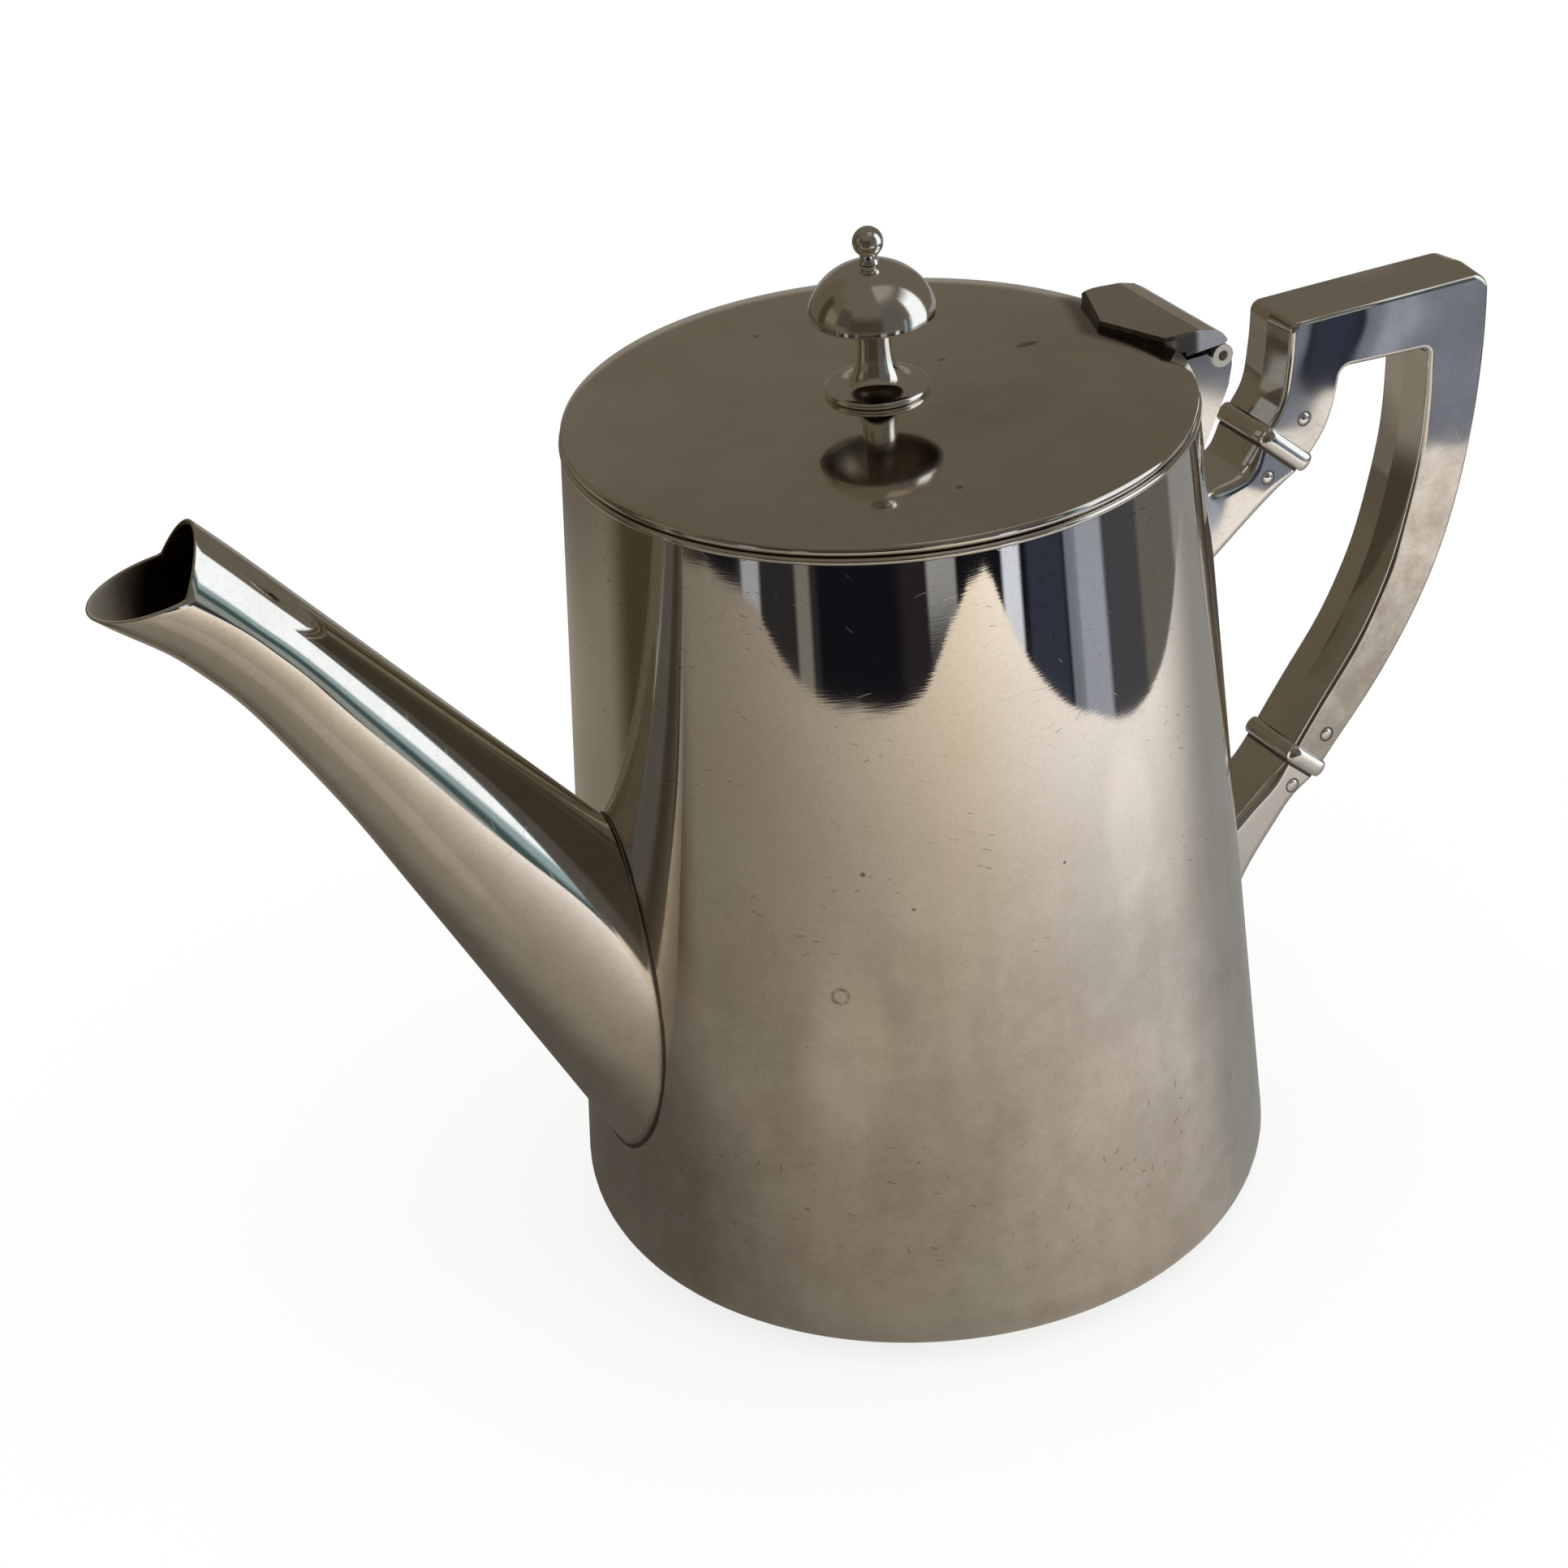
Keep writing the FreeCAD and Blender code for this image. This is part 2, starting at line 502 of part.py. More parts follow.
def handle_outline(d, y):
    """Closed wire of the handle's side view, grown by d, at depth y."""
    grow = d                                   # the runs go clockwise: outside is to the left
    runs = [resample(front_run, 14), resample(top_run, 12), resample(back_run, 40),
            resample(inner_run, 36), resample(under_run, 10), resample(rear_run, 12)]
    runs = [offset_run(r, grow) for r in runs]
    joins = [(0, 1, 1.3 + d), (1, 2, 2.6 + d), (3, 4, 1.9 - d), (4, 5, 2.4 - d)]
    arcs = {}
    for i, j, rad in joins:
        a, b = runs[i], runs[j]
        # crossing of the two end tangents
        x1, z1 = a[-1]
        t1 = (a[-1][0] - a[-2][0], a[-1][1] - a[-2][1])
        x2, z2 = b[0]
        t2 = (b[1][0] - b[0][0], b[1][1] - b[0][1])
        den = t1[0] * t2[1] - t1[1] * t2[0]
        s = ((x2 - x1) * t2[1] - (z2 - z1) * t2[0]) / den
        p = (x1 + t1[0] * s, z1 + t1[1] * s)
        c = corner(a[-2] if s > -0.5 else a[-4], p, b[1], rad)
        arcs[i] = c
        runs[i] = cut_end(a, c[0], False)
        runs[j] = cut_end(b, c[-1], True)
    edges = []

    def bs(pts):
        cv = Part.BSplineCurve()
        cv.interpolate([V(px_, y, pz_) for px_, pz_ in pts])
        return cv.toShape()

    def seg(a, b):
        return Part.makeLine(V(a[0], y, a[1]), V(b[0], y, b[1]))

    def rnd(c):
        m = len(c) // 2
        return Part.Arc(V(c[0][0], y, c[0][1]), V(c[m][0], y, c[m][1]), V(c[-1][0], y, c[-1][1])).toShape()

    edges.append(bs(runs[0]))
    edges.append(rnd(arcs[0]))
    edges.append(bs(runs[1]))
    edges.append(rnd(arcs[1]))
    edges.append(bs(runs[2]))
    edges.append(seg(runs[2][-1], runs[3][0]))
    edges.append(bs(runs[3]))
    edges.append(rnd(arcs[3]))
    edges.append(bs(runs[4]))
    edges.append(rnd(arcs[4]))
    edges.append(bs(runs[5]))
    edges.append(seg(runs[5][-1], runs[0][0]))
    return Part.Wire(edges)


# across the thickness: rounded edges, then sides that rise to the seam ridge
LEVELS = [(-6.0, -0.85), (-5.88, -0.5), (-5.6, -0.2), (-5.15, -0.03), (0.0, RIDGE), (5.15, -0.03), (5.6, -0.2),
          (5.88, -0.5), (6.0, -0.85)]
LEVELS = [(y * GRIP_HALF / 6.0, d + GRIP_GROW) for y, d in LEVELS]
handle = Part.makeLoft([handle_outline(d, y) for y, d in LEVELS], True, True)

# flat ends, square to the handle
for end, d, s in ((UP_END, UP_DIR, -1), (LOW_END, LOW_DIR, -1)):
    a = across(d)
    c = end
    far = 6.0
    handle = handle.cut(prism_y([
        (c[0] - a[0] * 9, c[1] - a[1] * 9), (c[0] + a[0] * 9, c[1] + a[1] * 9),
        (c[0] + a[0] * 9 - d[0] * far, c[1] + a[1] * 9 - d[1] * far),
        (c[0] - a[0] * 9 - d[0] * far, c[1] - a[1] * 9 - d[1] * far)], 12))
handle = max(handle.Solids, key=lambda s: s.Volume)


def bar(end, d, lo, hi, h, half):
    """Straight bar along d from lo to hi, h deep in the XZ plane, 2*half thick."""
    a = across(d)
    p = [(end[0] + d[0] * s + a[0] * t, end[1] + d[1] * s + a[1] * t) for s, t in
         ((lo, -h / 2), (hi, -h / 2), (hi, h / 2), (lo, h / 2))]
    return prism_y(p, half)


COLLAR_UP = 3.2
COLLAR_LOW = 3.0
TANG_UP = (5.0, 3.4)             # depth and half thickness of the insulator's tang
TANG_LOW = (4.2, 3.4)
TANG_IN = 6.6                    # how far the tang reaches into the handle
TANG_OUT = 6.6                   # and, from the flange, into the socket
FIT = 0.05

PINS = [(71.95, 116.0), (64.95, 107.85), (76.0, 57.9), (69.1, 50.55)]   # handle, socket, handle, socket

for end, d, tang in ((UP_END, UP_DIR, TANG_UP), (LOW_END, LOW_DIR, TANG_LOW)):
    handle = handle.cut(bar(end, d, -1.0, TANG_IN + 0.1, tang[0] + 2 * FIT, tang[1] + FIT))
for i in (0, 2):
    handle = handle.cut(cyl_y(PINS[i][0], PINS[i][1], PIN_HANDLE_R + 0.03, -20, 20))
handle = max(handle.Solids, key=lambda s: s.Volume)
save(handle, "handle")


def rounded_section(center, d, h, half, r, grow=0.0):
    """Rounded rectangle square to d in the XZ plane: h deep, 2*half thick along Y."""
    a = across(d)
    hh = h / 2 + grow
    hy = half + grow
    rr = min(r + grow, hh - 0.05, hy - 0.05)
    s = rr * (1 - math.sqrt(0.5))

    def pt(u, y):
        return V(center[0] + a[0] * u, y, center[1] + a[1] * u)

    e = []
    e.append(Part.makeLine(pt(-hh + rr, -hy), pt(hh - rr, -hy)))
    e.append(Part.Arc(pt(hh - rr, -hy), pt(hh - s, -hy + s), pt(hh, -hy + rr)).toShape())
    e.append(Part.makeLine(pt(hh, -hy + rr), pt(hh, hy - rr)))
    e.append(Part.Arc(pt(hh, hy - rr), pt(hh - s, hy - s), pt(hh - rr, hy)).toShape())
    e.append(Part.makeLine(pt(hh - rr, hy), pt(-hh + rr, hy)))
    e.append(Part.Arc(pt(-hh + rr, hy), pt(-hh + s, hy - s), pt(-hh, hy - rr)).toShape())
    e.append(Part.makeLine(pt(-hh, hy - rr), pt(-hh, -hy + rr)))
    e.append(Part.Arc(pt(-hh, -hy + rr), pt(-hh + s, -hy + s), pt(-hh + rr, -hy)).toShape())
    return Part.Wire(e)


def collar(end, d, length, h, half, tang):
    """Half-round bead round the end of the handle, pierced for the tang."""
    secs = []
    n = 12
    for i in range(n + 1):
        t = math.pi * i / n
        s = -length * 0.5 * (1 - math.cos(t))
        g = COLLAR_BULGE * math.sin(t) ** 0.8 if 0 < i < n else 0.0
        secs.append(rounded_section((end[0] + d[0] * s, end[1] + d[1] * s), d, h, half, 0.9, g))
    c = Part.makeLoft(secs, True, True)
    return c.cut(bar(end, d, -length - 1, 1, tang[0] + 2 * FIT, tang[1] + FIT))


def insulator(end, d, length, h, half, tang):
    """Thin flange under the collar with a tang to both sides, drilled for the pins."""
    c = (end[0] - d[0] * length, end[1] - d[1] * length)
    top = rounded_section(c, d, h, half, 0.9)
    flange = Part.Face(top).extrude(V(-d[0] * FLANGE_T, 0, -d[1] * FLANGE_T))
    return flange.fuse(bar(c, d, -FLANGE_T - TANG_OUT, length + TANG_IN, tang[0], tang[1])).removeSplitter()


upper_collar = collar(UP_END, UP_DIR, COLLAR_UP, UP_H + 0.5, GRIP_HALF + 0.15, TANG_UP)
lower_collar = collar(LOW_END, LOW_DIR, COLLAR_LOW, LOW_H + 0.7, GRIP_HALF + 0.15, TANG_LOW)
save(upper_collar, "upper_collar")
save(lower_collar, "lower_collar")

SOCKET_GROW = 0.35       # full size of the sockets over their drawn rows
UP_SOCK_H = 9.4
LOW_SOCK_H = 6.9
upper_ins = insulator(UP_END, UP_DIR, COLLAR_UP, UP_SOCK_H, GRIP_HALF, TANG_UP)
lower_ins = insulator(LOW_END, LOW_DIR, COLLAR_LOW, LOW_SOCK_H, GRIP_HALF, TANG_LOW)
for i in (0, 1):
    upper_ins = upper_ins.cut(cyl_y(PINS[i][0], PINS[i][1], PIN_HANDLE_R + 0.02, -20, 20))
for i in (2, 3):
    lower_ins = lower_ins.cut(cyl_y(PINS[i][0], PINS[i][1], PIN_HANDLE_R + 0.02, -20, 20))
save(upper_ins, "upper_insulator")
save(lower_ins, "lower_insulator")


def socket(end, d, length, h, rows, tang, pin):
    """Flared arm from the wall to the insulator; rows give upper and lower edge and half thickness."""
    c = (end[0] - d[0] * (length + FLANGE_T), end[1] - d[1] * (length + FLANGE_T))
    secs = [rounded_section(c, d, h, GRIP_HALF + 0.05, 0.9)]
    for (ux, uz), (lx, lz), half in rows:
        mid_p = ((ux + lx) / 2, (uz + lz) / 2)
        hh = math.hypot(lx - ux, lz - uz)
        aa = norm2((lx - ux, lz - uz))
        dd = (-aa[1], aa[0])
        secs.append(rounded_section(mid_p, dd, hh, half, 1.5, SOCKET_GROW))
    s = Part.makeLoft(secs, True, False)
    s = s.cut(body_solid)
    s = max(s.Solids, key=lambda q_: q_.BoundBox.XMax)
    s = s.cut(bar(c, d, -TANG_OUT - 0.1, 1, tang[0] + 2 * FIT, tang[1] + FIT))
    s = s.cut(cyl_y(pin[0], pin[1], PIN_HANDLE_R + 0.03, -20, 20))
    return max(s.Solids, key=lambda q_: q_.Volume)


UP_ROWS = [((61.6, 110.1), (67.4, 105.2), 5.8), ((58.0, 108.75), (62.4, 101.9), 5.85), ((54.0, 108.35), (57.1, 98.2), 6.0),
           ((50.5, 108.9), (52.0, 94.8), 6.5), ((46.5, 110.2), (46.8, 90.5), 7.4)]
LOW_ROWS = [((65.6, 52.5), (69.7, 48.2), 5.8), ((62.0, 49.8), (66.3, 44.6), 5.8), ((58.6, 47.3), (62.6, 40.4), 5.9),
            ((55.6, 45.4), (58.6, 35.2), 6.2), ((52.5, 44.2), (54.6, 29.5), 6.9), ((49.0, 43.8), (49.6, 26.0), 7.6)]
upper_socket = socket(UP_END, UP_DIR, COLLAR_UP, UP_SOCK_H, UP_ROWS, TANG_UP, PINS[1])
lower_socket = socket(LOW_END, LOW_DIR, COLLAR_LOW, LOW_SOCK_H, LOW_ROWS, TANG_LOW, PINS[3])
save(upper_socket, "upper_socket")
save(lower_socket, "lower_socket")

# cross pins with slightly domed ends, through handle or socket and the tang
for name, pair in (("upper_pins", (0, 1)), ("lower_pins", (2, 3))):
    solids = []
    for i in pair:
        half = GRIP_HALF + (0.0 if i in (0, 2) else 0.1)
        p = cyl_y(PINS[i][0], PINS[i][1], PIN_HANDLE_R, -half - 0.15, half + 0.15)
        p = p.makeFillet(0.25, [e for e in p.Edges if len(e.Vertexes) == 1])
        solids.append(p)
    Part.makeCompound(solids).exportStep("parts/%s.step" % name)
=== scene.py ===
import math
import bpy
import bmesh
import numpy as np
from mathutils import Matrix, Vector


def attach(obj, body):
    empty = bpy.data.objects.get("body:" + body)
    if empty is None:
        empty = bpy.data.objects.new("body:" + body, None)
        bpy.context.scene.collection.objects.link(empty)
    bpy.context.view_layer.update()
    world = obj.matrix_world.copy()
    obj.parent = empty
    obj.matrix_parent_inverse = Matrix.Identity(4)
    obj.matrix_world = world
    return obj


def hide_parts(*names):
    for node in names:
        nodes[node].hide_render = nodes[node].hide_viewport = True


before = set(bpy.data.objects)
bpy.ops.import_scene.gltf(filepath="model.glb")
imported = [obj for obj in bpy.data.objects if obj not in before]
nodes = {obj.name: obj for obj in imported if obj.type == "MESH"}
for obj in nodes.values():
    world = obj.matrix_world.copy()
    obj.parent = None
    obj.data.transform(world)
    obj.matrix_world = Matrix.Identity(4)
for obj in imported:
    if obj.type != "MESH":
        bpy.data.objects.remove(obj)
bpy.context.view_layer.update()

MM = 0.001
scene = bpy.context.scene


# ---------------------------------------------------------------------------
# Camera at the photograph's viewing angle
# ---------------------------------------------------------------------------
cam_data = bpy.data.cameras.new("camera")
cam_data.lens = 91.529
cam_data.sensor_width = 36.0
cam_data.sensor_fit = "HORIZONTAL"
cam_data.clip_start = 0.01
cam_data.clip_end = 50.0
cam = bpy.data.objects.new("camera", cam_data)
scene.collection.objects.link(cam)
cam.matrix_world = Matrix((
    (0.877683, 0.291639, -0.380289, -0.2533662),
    (-0.474022, 0.411490, -0.778446, -0.4765125),
    (-0.070540, 0.863494, 0.499401, 0.3838795),
    (0.0, 0.0, 0.0, 1.0)))
scene.camera = cam
scene.view_settings.view_transform = "Standard"
scene.view_settings.look = "None"
scene.view_settings.exposure = 0.0
scene.view_settings.gamma = 1.0


# ---------------------------------------------------------------------------
# Mesh helpers, in millimetres
# ---------------------------------------------------------------------------
BASE_R, TOP_R, EDGE_Z, LID_Z = 55.0, 47.36, 8.5, 136.7
WALL_SLOPE = (BASE_R - TOP_R) / (LID_Z - EDGE_Z)


def wall_gap(p):
    """How far points lie outside the tapered wall."""
    return np.hypot(p[..., 0], p[..., 1]) - (BASE_R - WALL_SLOPE * (p[..., 2] - EDGE_Z))


def onto_wall(p, depth):
    """Points moved along the radius to lie depth inside the wall's outer side."""
    r = np.hypot(p[..., 0], p[..., 1])
    k = (BASE_R - WALL_SLOPE * (p[..., 2] - EDGE_Z) - depth) / r
    return np.stack([p[..., 0] * k, p[..., 1] * k, p[..., 2]], -1)


def unit(v):
    return v / np.maximum(np.sqrt((v * v).sum(-1, keepdims=True)), 1e-12)


class Curve:
    """Natural cubic spline through points of any dimension."""

    def __init__(self, pts, knots=None):
        self.p = np.array(pts, float)
        if knots is None:
            step = np.sqrt(((self.p[1:] - self.p[:-1]) ** 2).sum(1))
            knots = np.concatenate([[0.0], np.cumsum(step)])
        self.t = np.array(knots, float)
        n = len(self.t)
        h = np.diff(self.t)
        a = np.eye(n)
        b = np.zeros_like(self.p)
        for i in range(1, n - 1):
            a[i, i - 1], a[i, i], a[i, i + 1] = h[i - 1], 2 * (h[i - 1] + h[i]), h[i]
            b[i] = 6 * ((self.p[i + 1] - self.p[i]) / h[i] - (self.p[i] - self.p[i - 1]) / h[i - 1])
        self.m = np.linalg.solve(a, b)

    def at(self, t):
        t = np.atleast_1d(np.asarray(t, float))
        i = np.clip(np.searchsorted(self.t, t) - 1, 0, len(self.t) - 2)
        h = (self.t[i + 1] - self.t[i])[:, None]
        u = (self.t[i + 1] - t)[:, None] / h
        v = (t - self.t[i])[:, None] / h
        return (self.p[i] * u + self.p[i + 1] * v
                + ((u ** 3 - u) * self.m[i] + (v ** 3 - v) * self.m[i + 1]) * h * h / 6.0)

    def even(self, n):
        """n points evenly spaced along the curve."""
        d = self.at(np.linspace(self.t[0], self.t[-1], 1500))
        s = np.concatenate([[0.0], np.cumsum(np.sqrt(((d[1:] - d[:-1]) ** 2).sum(1)))])
        want = np.linspace(0.0, s[-1], n)
        return [tuple(np.interp(w, s, d[:, k]) for k in range(d.shape[1])) for w in want]


def new_mesh(name, verts, faces, sharp=35.0, normals=None):
    """Mesh object from millimetres: smooth, with hard edges above an angle or with given corner normals."""
    me = bpy.data.meshes.new(name)
    me.from_pydata([(float(v[0]) * MM, float(v[1]) * MM, float(v[2]) * MM) for v in verts], [], faces)
    if normals is None:
        bm = bmesh.new()
        bm.from_mesh(me)
        bmesh.ops.recalc_face_normals(bm, faces=bm.faces)
        bm.to_mesh(me)
        bm.free()
        me.shade_smooth()
        me.set_sharp_from_angle(angle=math.radians(sharp))
    else:
        me.shade_smooth()
        me.normals_split_custom_set(normals)
    ob = bpy.data.objects.new(name, me)
    scene.collection.objects.link(ob)
    return ob


def grid_faces(rows, cols, first=0, loop=False):
    """Quads between rings of cols points each."""
    out = []
    for i in range(rows if loop else rows - 1):
        a, b = first + i * cols, first + ((i + 1) % rows) * cols
        for j in range(cols):
            k = (j + 1) % cols
            out.append((a + j, a + k, b + k, b + j))
    return out


def lathe(profile, seg=160, loop=True, axis="Z", at=(0.0, 0.0), first=0):
    """Turned solid from a profile of (radius, height)."""
    vs, fs, rings = [], [], []
    for r, h in profile:
        if r < 1e-6:
            rings.append([first + len(vs)])
            vs.append((0.0, 0.0, h))
            continue
        rings.append(list(range(first + len(vs), first + len(vs) + seg)))
        for j in range(seg):
            a = math.tau * j / seg
            vs.append((r * math.cos(a), r * math.sin(a), h))
    for lo, hi in list(zip(rings, rings[1:])) + ([(rings[-1], rings[0])] if loop else []):
        for j in range(seg):
            k = (j + 1) % seg
            if len(lo) == 1:
                fs.append((lo[0], hi[k], hi[j]))
            elif len(hi) == 1:
                fs.append((lo[j], lo[k], hi[0]))
            else:
                fs.append((lo[j], lo[k], hi[k], hi[j]))
    if axis == "Y":
        vs = [(at[0] + x, h, at[1] - y) for x, y, h in vs]
    return vs, fs


def arc_pts(c, r, a0, a1, n):
    return [(c[0] + r * math.cos(math.radians(a0 + (a1 - a0) * i / n)),
             c[1] + r * math.sin(math.radians(a0 + (a1 - a0) * i / n))) for i in range(n + 1)]


def rounded_rect(hh, hy, r, arc=10, flat=8):
    """Points round a rounded rectangle of half sizes hh and hy, always the same number."""
    out = []
    corners = ((hh - r, -hy + r, -90.0), (hh - r, hy - r, 0.0), (-hh + r, hy - r, 90.0), (-hh + r, -hy + r, 180.0))
    arcs = [arc_pts((cx, cy), r, a0, a0 + 90.0, arc) for cx, cy, a0 in corners]
    for i, pts in enumerate(arcs):
        out += pts
        p, q = pts[-1], arcs[(i + 1) % 4][0]
        out += [(p[0] + (q[0] - p[0]) * j / flat, p[1] + (q[1] - p[1]) * j / flat) for j in range(1, flat)]
    return out


def norm2(v):
    n = math.hypot(v[0], v[1])
    return (v[0] / n, v[1] / n)


def across(d):
    return (d[1], -d[0])


def section(c, d, h, half, r, grow=0.0):
    """Rounded section square to d in the XZ plane, as an array of points."""
    a = across(d)
    hh, hy = h / 2 + grow, half + grow
    rr = min(r + grow, hh - 0.05, hy - 0.05)
    return np.array([(c[0] + a[0] * u, y, c[1] + a[1] * u) for u, y in rounded_rect(hh, hy, rr)])


PIECES = []


def piece(ob, body, slot, mat, *stands_for):
    """Notes a new piece with its body, finish and the CAD nodes it stands for."""
    ob.data.materials.append(mat)
    PIECES.append((ob, body, slot, stands_for))
    return ob


def fillet_rows(seam, arm, out, size, steps=5):
    """Rings of a hollow fillet from the wall to an arm: seam points, directions along the arm and out of it."""
    r = np.hypot(seam[:, 0], seam[:, 1])[:, None]
    wall_n = unit(np.concatenate([seam[:, :2] / r, np.full((len(seam), 1), WALL_SLOPE)], 1))
    side = unit(out - (out * wall_n).sum(1)[:, None] * wall_n)
    foot = onto_wall(seam + side * size, 0.0)
    top = seam + arm * size
    rows = [onto_wall(foot, 0.25)]
    for i in range(steps):
        t = i / steps
        rows.append(foot * (1 - t) ** 2 + seam * 2 * t * (1 - t) + top * t * t)
    return rows


# ---------------------------------------------------------------------------
# Node helpers
# ---------------------------------------------------------------------------
def lin(r, g, b, k=1.0):
    """Display values 0-255 to linear light, times k."""
    out = []
    for v in (r, g, b):
        v = max(v, 0.0) / 255.0
        out.append(k * (v / 12.92 if v <= 0.04045 else ((v + 0.055) / 1.055) ** 2.4))
    return (out[0], out[1], out[2], 1.0)


class Net:
    """Short spelling for a material's node tree."""

    def __init__(self, name):
        self.mat = bpy.data.materials.new(name)
        self.mat.use_nodes = True
        self.tree = self.mat.node_tree
        self.tree.nodes.clear()
        self.out = self.new("ShaderNodeOutputMaterial")

    def new(self, kind, **props):
        n = self.tree.nodes.new(kind)
        for key, val in props.items():
            setattr(n, key, val)
        return n

    def put(self, sock, val):
        if isinstance(val, bpy.types.NodeSocket):
            self.tree.links.new(val, sock)
        elif val is not None:
            sock.default_value = val

    def m(self, op, a, b=None, c=None, clamp=False):
        n = self.new("ShaderNodeMath", operation=op, use_clamp=clamp)
        for i, v in enumerate((a, b, c)):
            if v is not None:
                self.put(n.inputs[i], v)
        return n.outputs[0]

    def vm(self, op, a, b=None, out=0):
        n = self.new("ShaderNodeVectorMath", operation=op)
        self.put(n.inputs[0], a)
        if b is not None:
            self.put(n.inputs[3 if op == "SCALE" else 1], b)
        return n.outputs[1 if op in ("DOT_PRODUCT", "LENGTH", "DISTANCE") else out]

    def xyz(self, v):
        n = self.new("ShaderNodeSeparateXYZ")
        self.put(n.inputs[0], v)
        return n.outputs[0], n.outputs[1], n.outputs[2]

    def vec(self, x, y, z=0.0):
        n = self.new("ShaderNodeCombineXYZ")
        for i, v in enumerate((x, y, z)):
            self.put(n.inputs[i], v)
        return n.outputs[0]

    def step(self, v, lo, hi, a=0.0, b=1.0):
        """Smooth step of v from lo to hi, mapped to a..b."""
        n = self.new("ShaderNodeMapRange", interpolation_type="SMOOTHSTEP", clamp=True)
        self.put(n.inputs[0], v)
        rev = lo > hi
        n.inputs[1].default_value = hi if rev else lo
        n.inputs[2].default_value = lo if rev else hi
        n.inputs[3].default_value = b if rev else a
        n.inputs[4].default_value = a if rev else b
        return n.outputs[0]

    def mix(self, f, a, b):
        n = self.new("ShaderNodeMix", data_type="RGBA", blend_type="MIX", clamp_factor=True)
        self.put(n.inputs[0], f)
        self.put(n.inputs[6], a)
        self.put(n.inputs[7], b)
        return n.outputs[2]

    def mixf(self, f, a, b):
        n = self.new("ShaderNodeMix", data_type="FLOAT", clamp_factor=True)
        self.put(n.inputs[0], f)
        self.put(n.inputs[2], a)
        self.put(n.inputs[3], b)
        return n.outputs[0]

    def noise(self, v, size, detail=2.0, rough=0.5, distort=0.0):
        """Noise 0..1 with features about size wide, in the units of v."""
        n = self.new("ShaderNodeTexNoise", noise_dimensions="3D")
        self.put(n.inputs["Vector"], v)
        n.inputs["Scale"].default_value = 1.0 / size
        n.inputs["Detail"].default_value = detail
        n.inputs["Roughness"].default_value = rough
        n.inputs["Distortion"].default_value = distort
        return n.outputs[0]

    def shift(self, v, x, y, z=0.0):
        return self.vm("ADD", v, (x, y, z))

    def streak(self, v, angle, long, thin, seed):
        """Noise drawn out along a direction of the XY plane of v."""
        n = self.new("ShaderNodeMapping", vector_type="TEXTURE")
        self.put(n.inputs["Vector"], v)
        n.inputs["Location"].default_value = (seed * 7.13, seed * 3.71, 0.0)
        n.inputs["Rotation"].default_value = (0.0, 0.0, math.radians(angle))
        n.inputs["Scale"].default_value = (long, thin, thin)
        t = self.new("ShaderNodeTexNoise", noise_dimensions="2D")
        self.put(t.inputs["Vector"], n.outputs[0])
        t.inputs["Scale"].default_value = 1.0
        t.inputs["Detail"].default_value = 1.0
        return t.outputs[0]

    def marks(self, uv, cell, length, width, keep, seed, bend=0.3, spread=1.0, lean=0.0):
        """Separate thin scratches, one in a share of the cells of the plane uv."""
        v = self.shift(uv, seed * 13.7, seed * 5.9)
        t = self.new("ShaderNodeTexVoronoi", voronoi_dimensions="2D", feature="F1")
        self.put(t.inputs["Vector"], v)
        t.inputs["Scale"].default_value = 1.0 / cell
        col = self.new("ShaderNodeSeparateColor")
        self.put(col.inputs[0], t.outputs["Color"])
        c0, c1, c2 = col.outputs[0], col.outputs[1], col.outputs[2]
        loc = self.vm("SUBTRACT", v, t.outputs["Position"])
        ang = self.m("MULTIPLY_ADD", c0, math.pi * spread, math.radians(lean))
        ca, sa = self.m("COSINE", ang), self.m("SINE", ang)
        x, y, _ = self.xyz(loc)
        lx = self.m("ADD", self.m("MULTIPLY", x, ca), self.m("MULTIPLY", y, sa))
        ly = self.m("SUBTRACT", self.m("MULTIPLY", y, ca), self.m("MULTIPLY", x, sa))
        k = self.m("MULTIPLY", self.m("SUBTRACT", c2, 0.5), bend / length)
        ly = self.m("ADD", ly, self.m("MULTIPLY", k, self.m("MULTIPLY", lx, lx)))
        thin = self.step(self.m("ABSOLUTE", ly), width, width * 0.35)
        span = self.m("MULTIPLY_ADD", c2, length * 0.7, length * 0.3)
        fade = self.step(self.m("DIVIDE", self.m("ABSOLUTE", lx), span), 1.0, 0.55)
        on = self.m("LESS_THAN", c1, keep)
        return self.m("MULTIPLY", self.m("MULTIPLY", thin, fade), on)

    def specks(self, v, cell, radius, keep, seed):
        """Small round spots, one in a share of the cells."""
        t = self.new("ShaderNodeTexVoronoi", voronoi_dimensions="3D", feature="F1")
        self.put(t.inputs["Vector"], self.shift(v, seed * 11.3, seed * 4.1, seed * 2.3))
        t.inputs["Scale"].default_value = 1.0 / cell
        col = self.new("ShaderNodeSeparateColor")
        self.put(col.inputs[0], t.outputs["Color"])
        r = self.m("MULTIPLY_ADD", col.outputs[1], radius / cell, 0.25 * radius / cell)
        d = self.m("DIVIDE", t.outputs["Distance"], r)
        return self.m("MULTIPLY", self.step(d, 1.0, 0.6), self.m("LESS_THAN", col.outputs[0], keep))

    def spot(self, p, at, size, stretch=(1.0, 1.0, 1.0)):
        """One soft spot at a place, in millimetres."""
        d = self.vm("MULTIPLY", self.vm("SUBTRACT", p, at), stretch)
        return self.step(self.vm("LENGTH", d), size, size * 0.45)

